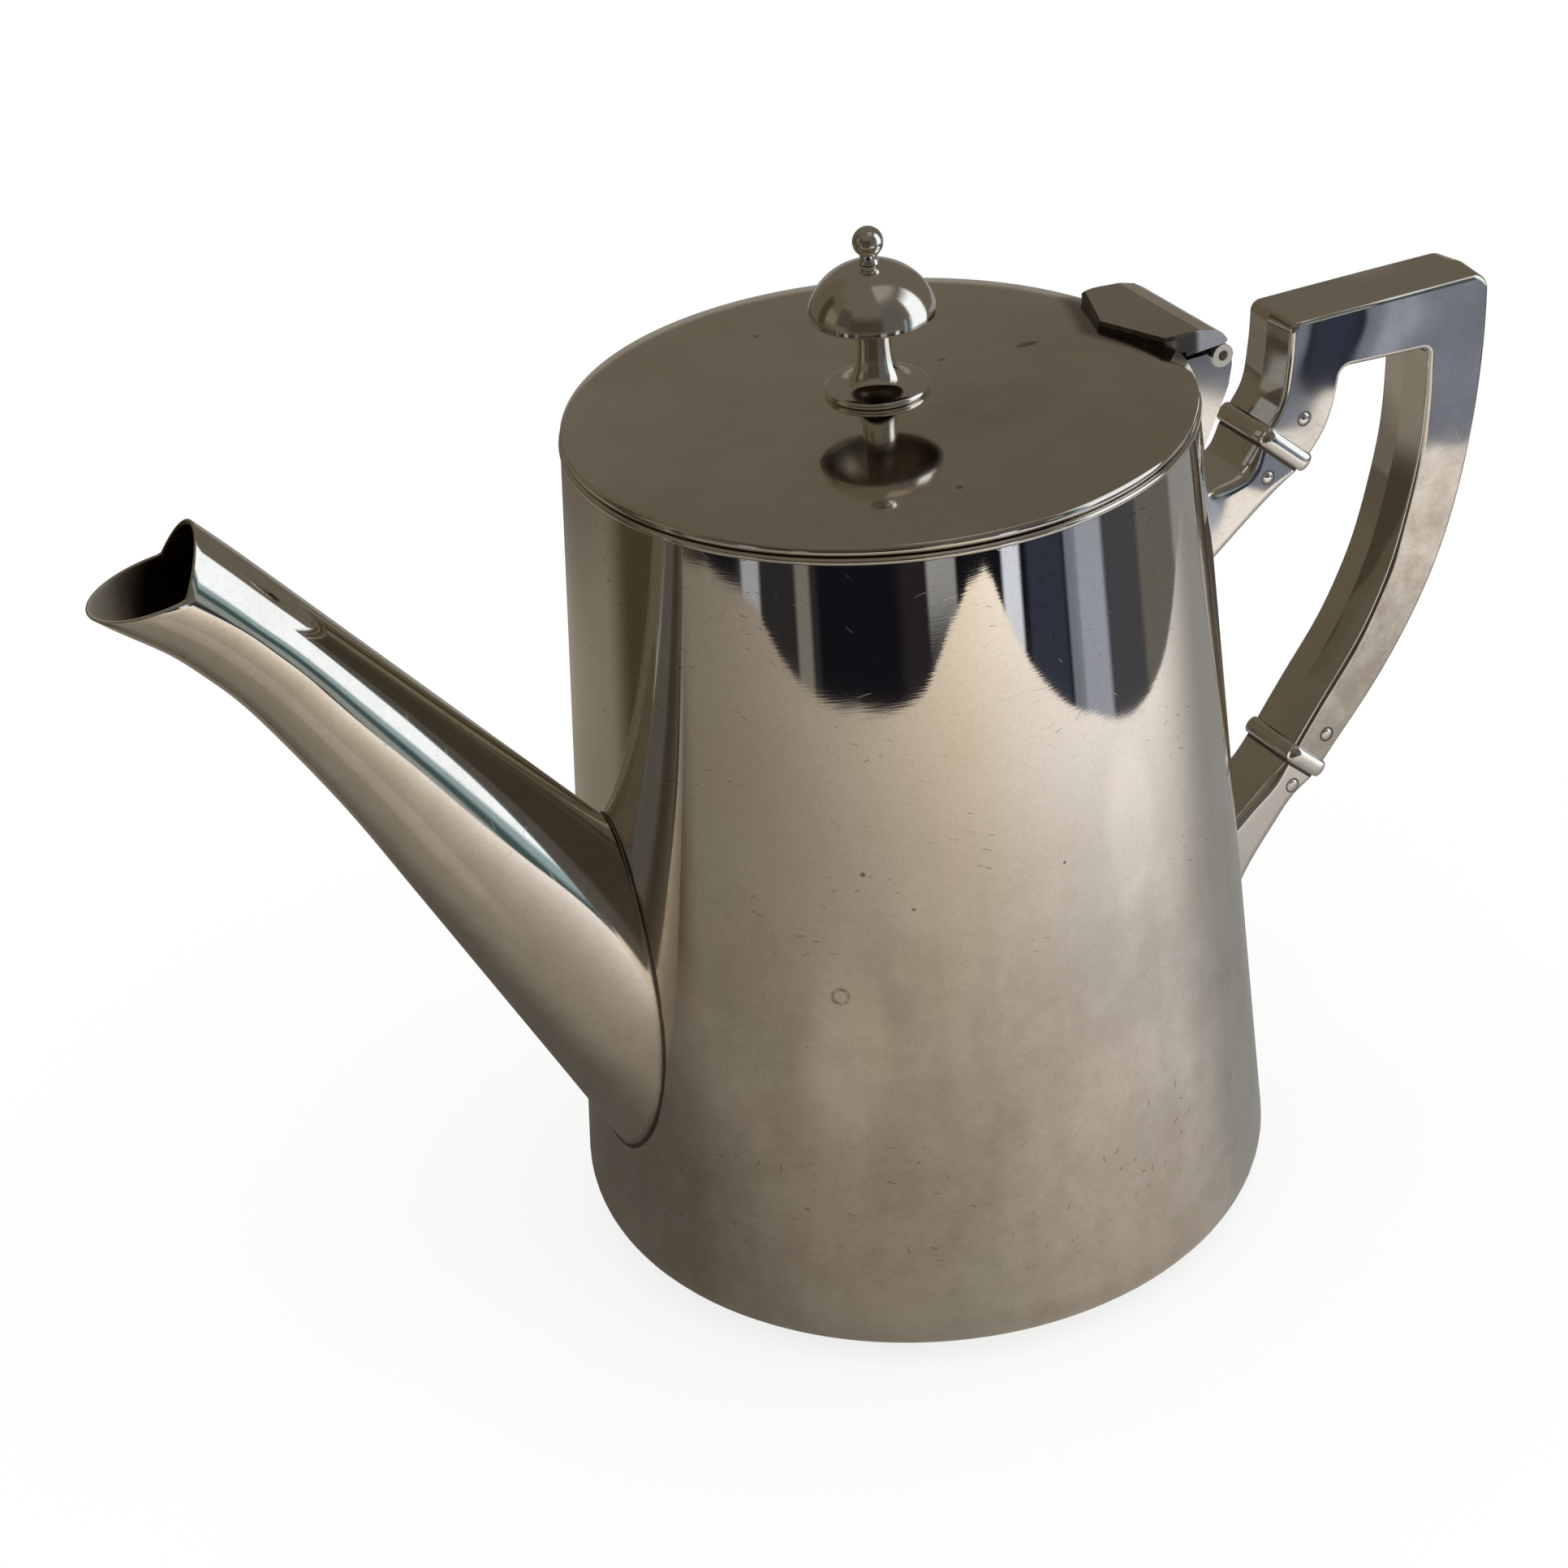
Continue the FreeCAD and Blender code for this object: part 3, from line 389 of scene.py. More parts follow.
    def surface(self, base, rough, metallic, height=None, depth=1.0):
        p = self.new("ShaderNodeBsdfPrincipled")
        self.put(p.inputs["Base Color"], base)
        self.put(p.inputs["Roughness"], rough)
        self.put(p.inputs["Metallic"], metallic)
        if height is not None:
            b = self.new("ShaderNodeBump")
            b.inputs["Strength"].default_value = 1.0
            b.inputs["Distance"].default_value = depth * MM
            self.put(b.inputs["Height"], height)
            self.put(p.inputs["Normal"], b.outputs[0])
        self.put(self.out.inputs[0], p.outputs[0])
        return p

    def normal(self):
        """Surface normal in the object's own frame, so that it turns with the piece."""
        return self.new("ShaderNodeTexCoord").outputs["Normal"]

    def place(self):
        """Object position in millimetres."""
        t = self.new("ShaderNodeTexCoord")
        return self.vm("SCALE", t.outputs["Object"], 1000.0)


# ---------------------------------------------------------------------------
# Materials of the object
# ---------------------------------------------------------------------------
CLEAN = (0.880, 0.860, 0.822, 1.0)
WARM = (0.815, 0.768, 0.690, 1.0)
BROWN = (0.330, 0.270, 0.200, 1.0)
SOOT = (0.060, 0.050, 0.040, 1.0)
STAIN = (0.300, 0.235, 0.165, 1.0)
DEEP = (0.115, 0.085, 0.058, 1.0)

SPOUT_O = (-50.7, 52.0)
SPOUT_D = (-0.552, 0.834)
PINS = [(71.95, 116.0), (64.95, 107.85), (76.0, 57.9), (69.1, 50.55)]


def plane_coords(n, p, space):
    """A plane laid over the surface, in millimetres."""
    x, y, z = n.xyz(p)
    if space == "wall":
        return n.vec(n.m("MULTIPLY", n.m("ARCTAN2", y, x), 51.0), z)
    if space == "plan":
        return n.vec(x, y)
    if space == "side":
        return n.vec(n.m("MULTIPLY_ADD", y, 0.35, x), n.m("MULTIPLY_ADD", y, 0.6, z))
    if space == "spout":
        ax = n.m("SUBTRACT", x, SPOUT_O[0])
        az = n.m("SUBTRACT", z, SPOUT_O[1])
        s = n.m("ADD", n.m("MULTIPLY", ax, SPOUT_D[0]), n.m("MULTIPLY", az, SPOUT_D[1]))
        t = n.m("ADD", n.m("MULTIPLY", ax, SPOUT_D[1]), n.m("MULTIPLY", az, -SPOUT_D[0]))
        return n.vec(n.m("MULTIPLY", n.m("ARCTAN2", y, t), 11.0), s)
    raise ValueError(space)


def silver(name, space, rough=0.05, haze=0.03, marks=1.0, tarnish=0.4, crevice=0.0, inside=None, pits=1.0,
           seam=False, pinned=False, spots=(), grained=0.10, tilt=0.0, waves=0.0, painted_shade_sides=False,
           shades=(STAIN, DEEP), film=0.0, painted_leaf_shade=0.0, eye=0.0, painted_shade_drift=0.0, clean=CLEAN):
    """Old polished silver plate: fine grain, scratches, pits, faint clouds and dirt in the corners."""
    n = Net(name)
    p = n.place()
    uv = plane_coords(n, p, space)
    x, y, z = n.xyz(p)

    cloud = n.step(n.noise(p, 26.0, 3.0, 0.5), 0.38, 0.68)
    worn = n.step(n.noise(n.shift(p, 71.0, 3.0, 40.0), 17.0, 2.0, 0.5), 0.35, 0.65)
    round_wall = space == "wall" and spots
    if round_wall:
        low = n.step(z, 105.0, 55.0)
        worn = n.m("MAXIMUM", n.m("MULTIPLY", worn, 0.2), n.m("MULTIPLY", low, n.m("MULTIPLY_ADD", worn, 0.45, 0.55)))
    grain = n.noise(n.shift(p, 5.0, 17.0, 9.0), 0.55, 2.0, 0.6)

    dash = n.marks(uv, 4.6, 1.4, 0.060, 0.34 * marks, 1.0)
    line = n.marks(uv, 12.0, 6.5, 0.045, 0.40 * marks, 2.0, bend=0.6)
    scratch = n.m("MAXIMUM", dash, n.m("MULTIPLY", line, 0.7))
    pit = n.specks(p, 9.0, 0.34, 0.30 * pits, 1.0)
    for at, size, stretch in spots:
        pit = n.m("MAXIMUM", pit, n.m("MULTIPLY", n.spot(p, at, size, stretch), 0.8))

    metal = 1.0
    base = n.mix(n.m("MULTIPLY", cloud, tarnish), clean, WARM)
    base = n.mix(n.m("MULTIPLY", n.step(grain, 0.42, 0.72), grained), base, BROWN)
    base = n.mix(n.m("MULTIPLY", n.m("MULTIPLY", scratch, worn), 0.45), base, BROWN)
    base = n.mix(n.m("MULTIPLY", pit, 0.75), base, SOOT)

    if round_wall:
        patch = n.step(n.noise(n.shift(p, 31.0, 8.0, 60.0), 13.0, 6.0, 0.72), 0.38, 0.62)
        rosy = n.step(n.noise(n.shift(p, 4.0, 90.0, 22.0), 19.0, 3.0, 0.6), 0.48, 0.62)
        run = n.step(n.streak(uv, 90.0, 60.0, 5.5, 6.0), 0.42, 0.70)
        scuff = n.step(n.streak(uv, 12.0, 4.5, 0.22, 8.0), 0.56, 0.74)
        base = n.mix(n.m("MULTIPLY", n.m("MULTIPLY", rosy, low), 0.5), base, (0.840, 0.780, 0.730, 1.0))
        base = n.mix(n.m("MULTIPLY", n.m("MULTIPLY", patch, low), 0.19), base, BROWN)
        base = n.mix(n.m("MULTIPLY", n.m("MULTIPLY", run, low), 0.075), base, BROWN)
        band = n.m("MULTIPLY", n.step(z, 10.0, 24.0), n.step(z, 46.0, 33.0))
        base = n.mix(n.m("MULTIPLY", n.m("MULTIPLY", scuff, n.m("MULTIPLY_ADD", band, 0.75, 0.25)), n.m("MULTIPLY", patch, 0.22)), base, BROWN)
        nick = n.m("MULTIPLY", n.marks(uv, 3.0, 0.85, 0.13, 0.40, 3.0), n.m("MULTIPLY_ADD", n.m("MULTIPLY", band, patch), 0.80, 0.14))
        flecks = n.m("MULTIPLY", n.step(n.noise(n.shift(p, 63.0, 5.0, 14.0), 11.0, 3.0, 0.6), 0.50, 0.64), n.step(z, 58.0, 78.0))
        fleck = n.marks(uv, 2.7, 1.05, 0.105, 0.50, 9.0, spread=0.42, lean=-36.0)
        nick = n.m("MAXIMUM", nick, n.m("MULTIPLY", n.m("MULTIPLY", fleck, flecks), 0.85))
        d = n.vm("LENGTH", n.vm("SUBTRACT", p, (-33.5, -39.3, 65.2)))
        ring = n.step(n.m("ABSOLUTE", n.m("SUBTRACT", d, 1.20)), 0.46, 0.10)
        ring = n.m("MULTIPLY", ring, n.step(n.noise(p, 1.1, 2.0, 0.5), 0.30, 0.62, 0.15, 0.75))
        nick = n.m("MAXIMUM", nick, ring)
        base = n.mix(n.m("MULTIPLY", nick, 0.72), base, SOOT)
        # Painted shade: the wall turns slightly browner upwards, from 62 mm to 92 mm high.
        base = n.mix(n.step(z, 62.0, 92.0, 0.0, 0.085), base, BROWN)

    # Painted shade: the colour darkens along a slope across the plan, towards the front and right, mixed with brown
    # blots and a thumb smudge.
    if painted_shade_drift:
        painted_slope = n.step(n.m("MULTIPLY_ADD", x, 0.17, n.m("MULTIPLY", y, -0.98)), -46.0, 46.0)
        blots = n.step(n.noise(n.shift(p, 17.0, 2.0, 33.0), 15.0, 6.0, 0.70), 0.36, 0.64)
        thumb = n.m("MULTIPLY", n.spot(p, (11.2, -14.2, 138.2), 12.0), n.m("MULTIPLY_ADD", blots, 0.6, 0.4))
        painted_shade_and_smudges = n.m("MULTIPLY_ADD", painted_slope, 0.90, n.m("MULTIPLY_ADD", blots, 0.30, n.m("MULTIPLY", thumb, 0.30)))
        base = n.mix(n.m("MULTIPLY", painted_shade_and_smudges, painted_shade_drift), base, BROWN)

    r = n.m("MULTIPLY_ADD", worn, haze, rough)
    r = n.m("ADD", r, n.m("MULTIPLY", n.m("SUBTRACT", grain, 0.5), 0.02))
    r = n.m("ADD", r, n.m("MULTIPLY", scratch, 0.07))
    r = n.m("ADD", r, n.m("MULTIPLY", pit, 0.35))

    if space == "spout":
        patch = n.step(n.noise(n.shift(p, 31.0, 8.0, 60.0), 6.0, 6.0, 0.75), 0.40, 0.62)
        speck = n.m("MULTIPLY", n.specks(p, 2.6, 0.20, 0.34, 4.0), n.m("MULTIPLY", patch, 0.6))
        base = n.mix(n.m("MULTIPLY", patch, 0.09), base, BROWN)
        base = n.mix(speck, base, SOOT)

    if seam:
        gap = n.m("SUBTRACT", n.vm("LENGTH", n.vec(x, y, 0.0)), n.m("MULTIPLY_ADD", z, -WALL_SLOPE, BASE_R + WALL_SLOPE * EDGE_Z))
        dirt = n.m("MULTIPLY", n.step(gap, 0.9, 0.05), n.step(n.noise(p, 3.0, 3.0, 0.6), 0.25, 0.6))
        base = n.mix(n.m("MULTIPLY", dirt, 0.55), base, BROWN)
        edge = n.step(gap, 0.22, 0.08)
        base = n.mix(n.m("MULTIPLY", edge, 0.75), base, SOOT)
        r = n.m("ADD", r, n.m("MULTIPLY", n.m("MAXIMUM", dirt, edge), 0.15))

    if film:
        flat = n.xyz(n.normal())[1]
        veil = n.step(n.noise(n.shift(p, 9.0, 40.0, 3.0), 7.0, 6.0, 0.72), 0.34, 0.66, 0.30, 1.0)
        veil = n.m("MULTIPLY", veil, n.m("MULTIPLY", n.step(n.m("ABSOLUTE", flat), 0.5, 0.85), n.step(z, 118.0, 84.0, 0.32, 1.0)))
        base = n.mix(n.m("MULTIPLY", veil, film), base, BROWN)
        r = n.m("ADD", r, n.m("MULTIPLY", veil, 0.05))

    if pinned:
        near = None
        for qx, qz in PINS:
            d = n.vm("LENGTH", n.vec(n.m("SUBTRACT", x, qx), n.m("SUBTRACT", z, qz), 0.0))
            near = d if near is None else n.m("MINIMUM", near, d)
        ring = n.step(n.m("ABSOLUTE", n.m("SUBTRACT", near, 1.16)), 0.24, 0.08)
        base = n.mix(n.m("MULTIPLY", ring, 0.85), base, SOOT)
        r = n.m("ADD", r, n.m("MULTIPLY", ring, 0.3))

    if crevice:
        ao = n.new("ShaderNodeAmbientOcclusion", samples=4)
        ao.inputs["Distance"].default_value = 2.5 * MM
        dark = n.step(ao.outputs["AO"], 0.70, 0.25)
        base = n.mix(n.m("MULTIPLY", dark, crevice), base, BROWN)
        r = n.m("ADD", r, n.m("MULTIPLY", dark, 0.2 * crevice))

    if inside is not None:
        stained = inside(n, p)
        blot = n.step(n.noise(n.shift(p, 2.0, 50.0, 8.0), 9.0, 4.0, 0.6), 0.3, 0.7)
        dull = n.mix(blot, *shades)
        if space == "spout":
            lip = n.m("MULTIPLY", stained, n.step(n.m("MULTIPLY_ADD", z, 0.35, n.m("MULTIPLY", x, -1.0)), 161.0, 171.5))
            dull = n.mix(lip, dull, (0.155, 0.138, 0.108, 1.0))
            metal = n.m("SUBTRACT", 1.0, lip)
        if round_wall:
            metal = n.m("MULTIPLY_ADD", stained, -0.7, 1.0)
        base = n.mix(stained, base, dull)
        r = n.mixf(stained, r, n.m("MULTIPLY_ADD", blot, 0.2, 0.30))

    if eye:
        d = n.vm("LENGTH", n.vec(n.m("SUBTRACT", x, 53.9), n.m("SUBTRACT", z, 133.4), 0.0))
        r = n.m("ADD", r, n.m("MULTIPLY", n.step(d, 2.1, 1.7), eye))

    # Painted shade and painted reflection: a dark band on the lid round the front of the hinge leaf.
    if painted_leaf_shade:
        a = n.m("ABSOLUTE", y)
        front = n.m("SUBTRACT", n.m("MULTIPLY_ADD", a, 0.352, 36.05), n.m("MULTIPLY", x, 0.936))
        side = n.m("SUBTRACT", a, 12.0)
        gap = n.m("ADD", n.m("MAXIMUM", front, side), n.m("MULTIPLY", n.m("SUBTRACT", n.noise(p, 2.0, 3.0, 0.6), 0.5), 0.8))
        band = n.m("MULTIPLY", n.step(gap, 4.2, 1.6), n.step(x, 28.0, 31.0))
        base = n.mix(n.m("MULTIPLY", band, painted_leaf_shade), base, DEEP)
        r = n.m("ADD", r, n.m("MULTIPLY", band, 0.08))

    # Painted shade: the hinge leaf's steep sides, away from its knuckle end, are darkened and made rougher.
    if painted_shade_sides:
        up = n.xyz(n.normal())[2]
        side = n.m("MULTIPLY", n.step(n.m("ABSOLUTE", up), 0.95, 0.82), n.step(n.noise(p, 2.2, 3.0, 0.6), 0.15, 0.5, 0.8, 1.0))
        side = n.m("MULTIPLY", side, n.step(x, 49.6, 48.2))
        base = n.mix(side, base, (0.115, 0.100, 0.080, 1.0))
        r = n.mixf(side, r, 0.22)

    h = n.m("MULTIPLY", scratch, -0.0016)
    if round_wall:
        h = n.m("ADD", h, n.m("MULTIPLY", n.m("MULTIPLY", n.streak(uv, 90.0, 22.0, 0.35, 4.0), low), 0.0014))
        hair = n.m("MULTIPLY", n.streak(uv, 4.0, 5.0, 0.30, 5.0), n.m("MULTIPLY", n.step(z, 72.0, 90.0), 0.0007))
        h = n.m("ADD", h, hair)
    if tilt:
        h = n.m("ADD", h, n.m("MULTIPLY", z, tilt))
    if waves:
        h = n.m("ADD", h, n.m("MULTIPLY", n.noise(n.shift(p, 12.0, 0.0, 7.0), 23.0, 1.0, 0.4), waves))
    n.surface(base, r, metal, h)
    return n.mat


def wall_inside(n, p):
    """1 on the inner side of the round wall."""
    x, y, z = n.xyz(p)
    d = n.vm("DOT_PRODUCT", n.normal(), n.vm("NORMALIZE", n.vec(x, y, 0.0)))
    up = n.xyz(n.normal())[2]
    return n.m("MAXIMUM", n.step(d, 0.15, -0.15), n.m("MULTIPLY", n.step(up, 0.2, 0.5), n.m("LESS_THAN", z, 20.0)))


def spout_inside(n, p):
    """1 on the inner side of the spout."""
    x, y, z = n.xyz(p)
    ax = n.m("SUBTRACT", x, SPOUT_O[0])
    az = n.m("SUBTRACT", z, SPOUT_O[1])
    s = n.m("ADD", n.m("MULTIPLY", ax, SPOUT_D[0]), n.m("MULTIPLY", az, SPOUT_D[1]))
    off = n.step(s, 60.0, 112.0, 2.2, -2.6)
    cx = n.m("ADD", n.m("MULTIPLY", s, SPOUT_D[0]), n.m("MULTIPLY", off, SPOUT_D[1]))
    cz = n.m("ADD", n.m("MULTIPLY", s, SPOUT_D[1]), n.m("MULTIPLY", off, -SPOUT_D[0]))
    rad = n.vm("NORMALIZE", n.vec(n.m("SUBTRACT", ax, cx), y, n.m("SUBTRACT", az, cz)))
    return n.step(n.vm("DOT_PRODUCT", n.normal(), rad), -0.35, -0.55)


def lid_inside(n, p):
    """1 on the lid's lower side, within its rim."""
    x, y, z = n.xyz(p)
    return n.m("MULTIPLY", n.step(n.xyz(n.normal())[2], -0.2, -0.5), n.step(n.vm("LENGTH", n.vec(x, y, 0.0)), 46.2, 45.6))


def dome_inside(n, p):
    """1 on the hollow side of the knob's dome."""
    x, y, z = n.xyz(p)
    d = n.vm("DOT_PRODUCT", n.normal(), n.vm("NORMALIZE", n.vec(x, y, 0.0)))
    return n.m("MULTIPLY", n.m("MAXIMUM", n.step(d, 0.05, -0.15), n.step(n.xyz(n.normal())[2], -0.4, -0.7)),
               n.m("LESS_THAN", z, 158.4))


def above(limit):
    return lambda n, p: n.m("GREATER_THAN", n.xyz(p)[2], limit)


WALL_SPOTS = [((-29.25, -41.04, 85.53), 0.55, (1.0, 1.0, 1.0)), ((-23.43, -45.03, 79.58), 0.42, (1.0, 1.0, 1.3)),
              ((-40.2, -36.2, 27.5), 0.6, (0.8, 0.8, 2.2))]
LID_SPOTS = [((26.5, 0.9, 138.0), 2.0, (0.75, 1.9, 0.3)), ((-4.9, 28.9, 138.2), 0.6, (1.0, 1.0, 0.3)), ((-6.4, -34.8, 138.0), 0.7, (1.0, 1.0, 0.3)),
             ((13.0, 3.5, 138.4), 0.8, (0.8, 1.6, 0.3))]
m_wall = silver("silver_wall", "wall", rough=0.030, haze=0.085, inside=wall_inside, tarnish=0.5, spots=WALL_SPOTS,
                shades=((0.345, 0.285, 0.215, 1.0), (0.240, 0.190, 0.135, 1.0)))
m_spout = silver("silver_spout", "spout", rough=0.040, haze=0.03, inside=spout_inside, tarnish=0.5, seam=True, marks=0.8)
m_lid = silver("silver_lid", "plan", rough=0.045, haze=0.03, tarnish=0.4, inside=lid_inside, marks=0.6, pits=0.6, spots=LID_SPOTS,
               grained=0.04, painted_leaf_shade=0.72, painted_shade_drift=0.30, clean=(0.980, 0.960, 0.920, 1.0), shades=((0.56, 0.50, 0.41, 1.0), (0.43, 0.37, 0.29, 1.0)))
m_grip = silver("silver_grip", "side", rough=0.04, haze=0.04, crevice=0.5, seam=True, pinned=True, tilt=0.034, waves=1.15, film=0.62)
m_arm = silver("silver_arm", "side", rough=0.05, haze=0.04, crevice=0.5, seam=True, pinned=True, waves=0.10)
m_small = silver("silver_small", "side", rough=0.05, haze=0.03, crevice=0.6, marks=0.6)
m_knob = silver("silver_knob", "side", rough=0.07, haze=0.03, marks=0.6, grained=0.05)
m_dome = silver("silver_dome", "side", rough=0.09, haze=0.03, marks=0.6, grained=0.05, inside=dome_inside,
                shades=((0.33, 0.285, 0.235, 1.0), (0.25, 0.21, 0.17, 1.0)))
m_bracket = silver("silver_bracket", "side", rough=0.06, haze=0.03, marks=0.6, tilt=0.045, seam=True, eye=0.34)
m_leaf = silver("silver_leaf", "plan", rough=0.05, haze=0.03, marks=0.6, painted_shade_sides=True, painted_shade_drift=0.30)
m_rim = silver("silver_rim", "wall", rough=0.05, haze=0.03, marks=0.6)
m_foot = silver("silver_base", "plan", rough=0.12, haze=0.12, inside=above(2.0))


def fibre():
    n = Net("insulator_fibre")
    p = n.place()
    f = n.noise(p, 0.5, 4.0, 0.6)
    w = n.noise(n.shift(p, 3.0, 3.0, 3.0), 2.5, 2.0)
    base = n.mix(f, (0.030, 0.022, 0.016, 1.0), (0.105, 0.078, 0.052, 1.0))
    n.surface(base, n.m("MULTIPLY_ADD", w, 0.25, 0.5), 0.0, n.m("MULTIPLY", f, 0.03))
    return n.mat


def turned(name, bright, dark, rough, painted_hole_ends=False):
    """Plain turned metal with tool rings and dull patches."""
    n = Net(name)
    p = n.place()
    x, y, z = n.xyz(p)
    ring = n.noise(n.vec(0.0, 0.0, z), 0.12, 1.0)
    cloud = n.step(n.noise(p, 2.5, 4.0, 0.6), 0.4, 0.7)
    base = n.mix(cloud, bright, dark)
    # Painted shade: both end faces of the pin go near black, standing in for the shade of a hole in each knuckle end.
    if painted_hole_ends:
        base = n.mix(n.step(n.m("ABSOLUTE", y), 10.3, 10.5, 0.0, 0.85), base, SOOT)
    r = n.m("ADD", n.m("MULTIPLY_ADD", cloud, 0.2, rough), n.m("MULTIPLY", ring, 0.1))
    n.surface(base, r, 1.0, n.m("MULTIPLY", ring, 0.01))
    return n.mat


m_fibre = fibre()
m_brass = turned("fixings_brass", (0.70, 0.52, 0.26, 1.0), (0.36, 0.25, 0.12, 1.0), 0.2)
m_steel = turned("pin_steel", (0.52, 0.51, 0.49, 1.0), (0.25, 0.22, 0.19, 1.0), 0.22, painted_hole_ends=True)

LOOKS = {
    "body_shell": m_wall, "base_plate": m_foot, "mouth_wire": m_rim, "spout": m_spout,
    "hinge_bracket": m_bracket, "hinge_pin": m_steel,
    "upper_socket": m_arm, "lower_socket": m_arm, "upper_collar": m_small, "lower_collar": m_small,
    "upper_insulator": m_fibre, "lower_insulator": m_fibre, "upper_pins": m_small, "lower_pins": m_small,
    "handle": m_grip, "lid_plate": m_lid, "lid_bezel": m_rim, "lid_hinge_leaf": m_leaf,
    "finial_stem": m_knob, "finial_dome": m_dome, "finial_ball": m_knob,
    "finial_stud": m_brass, "finial_washer": m_brass, "finial_nut": m_brass,
}
for key, mat in LOOKS.items():
    ob = nodes[key]
    if not ob.material_slots:
        ob.data.materials.append(mat)
    for slot in ob.material_slots:
        slot.material = mat


# ---------------------------------------------------------------------------
# Lid, mouth wire and finial: turned pieces with true round surfaces
# ---------------------------------------------------------------------------
LID_CROWN, LID_TURN, LID_BOTTOM = 1.0, 1.2, 135.2


def lid_rise(r):
    q = r / 46.7
    return LID_CROWN * (1 - q ** 2) + LID_TURN * (1 - q ** 14)


steps = list(np.linspace(46.943, 40.0, 26)) + list(np.linspace(39.4, 1.6, 26))
profile = [(r, LID_BOTTOM + lid_rise(r)) for r in reversed([s for s in steps if s < 46.6])]
profile += [(46.35, 135.25)] + arc_pts((46.72, 135.72), 0.68, -90.0, 0.0, 8)
profile += arc_pts((46.65, 135.909), 0.75, 6.0, 67.0, 8)
profile += [(r, LID_Z + lid_rise(r)) for r in steps[1:]]
piece(new_mesh("lid_disc", *lathe(profile, 240), sharp=50.0), "lid", "silver", m_lid, "lid_plate")

profile = [(45.6, 133.9)] + arc_pts((47.3, 134.35), 0.45, -90.0, 0.0, 8) + arc_pts((47.3, 134.45), 0.45, 0.0, 90.0, 8) + [(45.6, 134.9)]
piece(new_mesh("mouth_ring", *lathe(profile, 240), sharp=50.0), "pot", "silver", m_rim, "mouth_wire")

FOOT_Z = 138.9
neck = Curve([(7.35, FOOT_Z + 1.1), (5.5, 140.35), (4.3, 140.95), (3.5, 141.85), (3.02, 143.1), (2.76, 144.6), (2.64, 146.2),
              (2.6, 148.0), (2.6, 149.8)]).even(40)
profile = [(0.0, 146.3), (1.53, 146.3), (1.53, FOOT_Z), (7.2, FOOT_Z)]
profile += arc_pts((7.35, FOOT_Z + 0.55), 0.55, -88.0, 80.0, 12) + neck[1:]
profile += [(2.6, 152.0), (2.2, 154.0), (2.2, 158.05), (1.03, 158.05), (1.03, 153.3), (0.0, 153.3)]
piece(new_mesh("knob_stem", *lathe(profile, 128, loop=False), sharp=45.0), "lid", "silver", m_knob, "finial_stem")

outer = Curve([(9.5, 151.25), (9.4, 152.3), (8.95, 153.65), (8.2, 155.0), (7.05, 156.35), (5.55, 157.55), (3.9, 158.4),
               (2.3, 158.88), (1.03, 159.05)]).even(40)
inner = Curve([(1.03, 158.08), (2.3, 158.0), (3.65, 157.52), (5.05, 156.75), (6.45, 155.62), (7.5, 154.35), (8.15, 153.1),
               (8.55, 151.75), (8.7, 151.05)]).even(30)
profile = inner[:-1] + arc_pts((9.1, 151.3), 0.4, 185.0, 355.0, 12) + outer
piece(new_mesh("knob_dome", *lathe(profile, 128), sharp=45.0), "lid", "silver", m_dome, "finial_dome")

profile = [(0.0, 153.6), (1.0, 153.6), (1.0, 159.07), (1.55, 159.07), (1.42, 159.3), (1.36, 159.6), (1.34, 159.95), (1.35, 160.35)]
profile += arc_pts((0.0, 162.3), 2.3, -54.0, 87.0, 28) + [(0.0, 164.6)]
piece(new_mesh("knob_ball", *lathe(profile, 96, loop=False), sharp=45.0), "lid", "silver", m_knob, "finial_ball")


# ---------------------------------------------------------------------------
# Spout: oval tube from the wall to its beaked mouth, with a rounded edge there
# and a small solder fillet at its root
# ---------------------------------------------------------------------------
SPOUT_ROWS = [
    (-25, 22.8, 18.1, 13.9), (-12, 21.3, 16.6, 13.4), (0, 19.87, 15.19, 12.6),
    (10, 18.71, 14.04, 11.4), (20, 17.55, 12.89, 10.45), (32, 16.15, 11.5, 9.75),
    (45, 14.63, 10.0, 9.1), (58, 13.1, 8.55, 8.5), (70, 11.72, 7.72, 8.1),
    (80, 10.55, 7.33, 7.8), (88, 9.62, 7.42, 7.6), (94, 8.92, 8.05, 7.45),
    (100, 8.22, 8.98, 7.38), (105, 7.6, 10.35, 7.34), (110, 6.9, 11.85, 7.3),
    (115, 6.15, 13.0, 7.2), (120, 5.4, 13.6, 7.05),
]
MOUTH_SKEW = (0.135, 0.03)
PEAK, NOTCH = (-107.1, 149.2), (-110.9, 141.5)
MOUTH = [(2 * PEAK[0] - NOTCH[0], 2 * PEAK[1] - NOTCH[1]), PEAK, (NOTCH[0] + 0.45, NOTCH[1] + 1.05),
         (NOTCH[0] + 0.05, NOTCH[1] + 0.3), (NOTCH[0] - 0.7, NOTCH[1] + 0.02), (-126.0, 139.0), (-140.0, 139.0), (-140.0, 175.0),
         (2 * PEAK[0] - NOTCH[0], 175.0)]
spout_curve = Curve([r[1:] for r in SPOUT_ROWS], [r[0] for r in SPOUT_ROWS])


def ease(v):
    v = np.clip(v, 0.0, 1.0)
    return v * v * (3 - 2 * v)


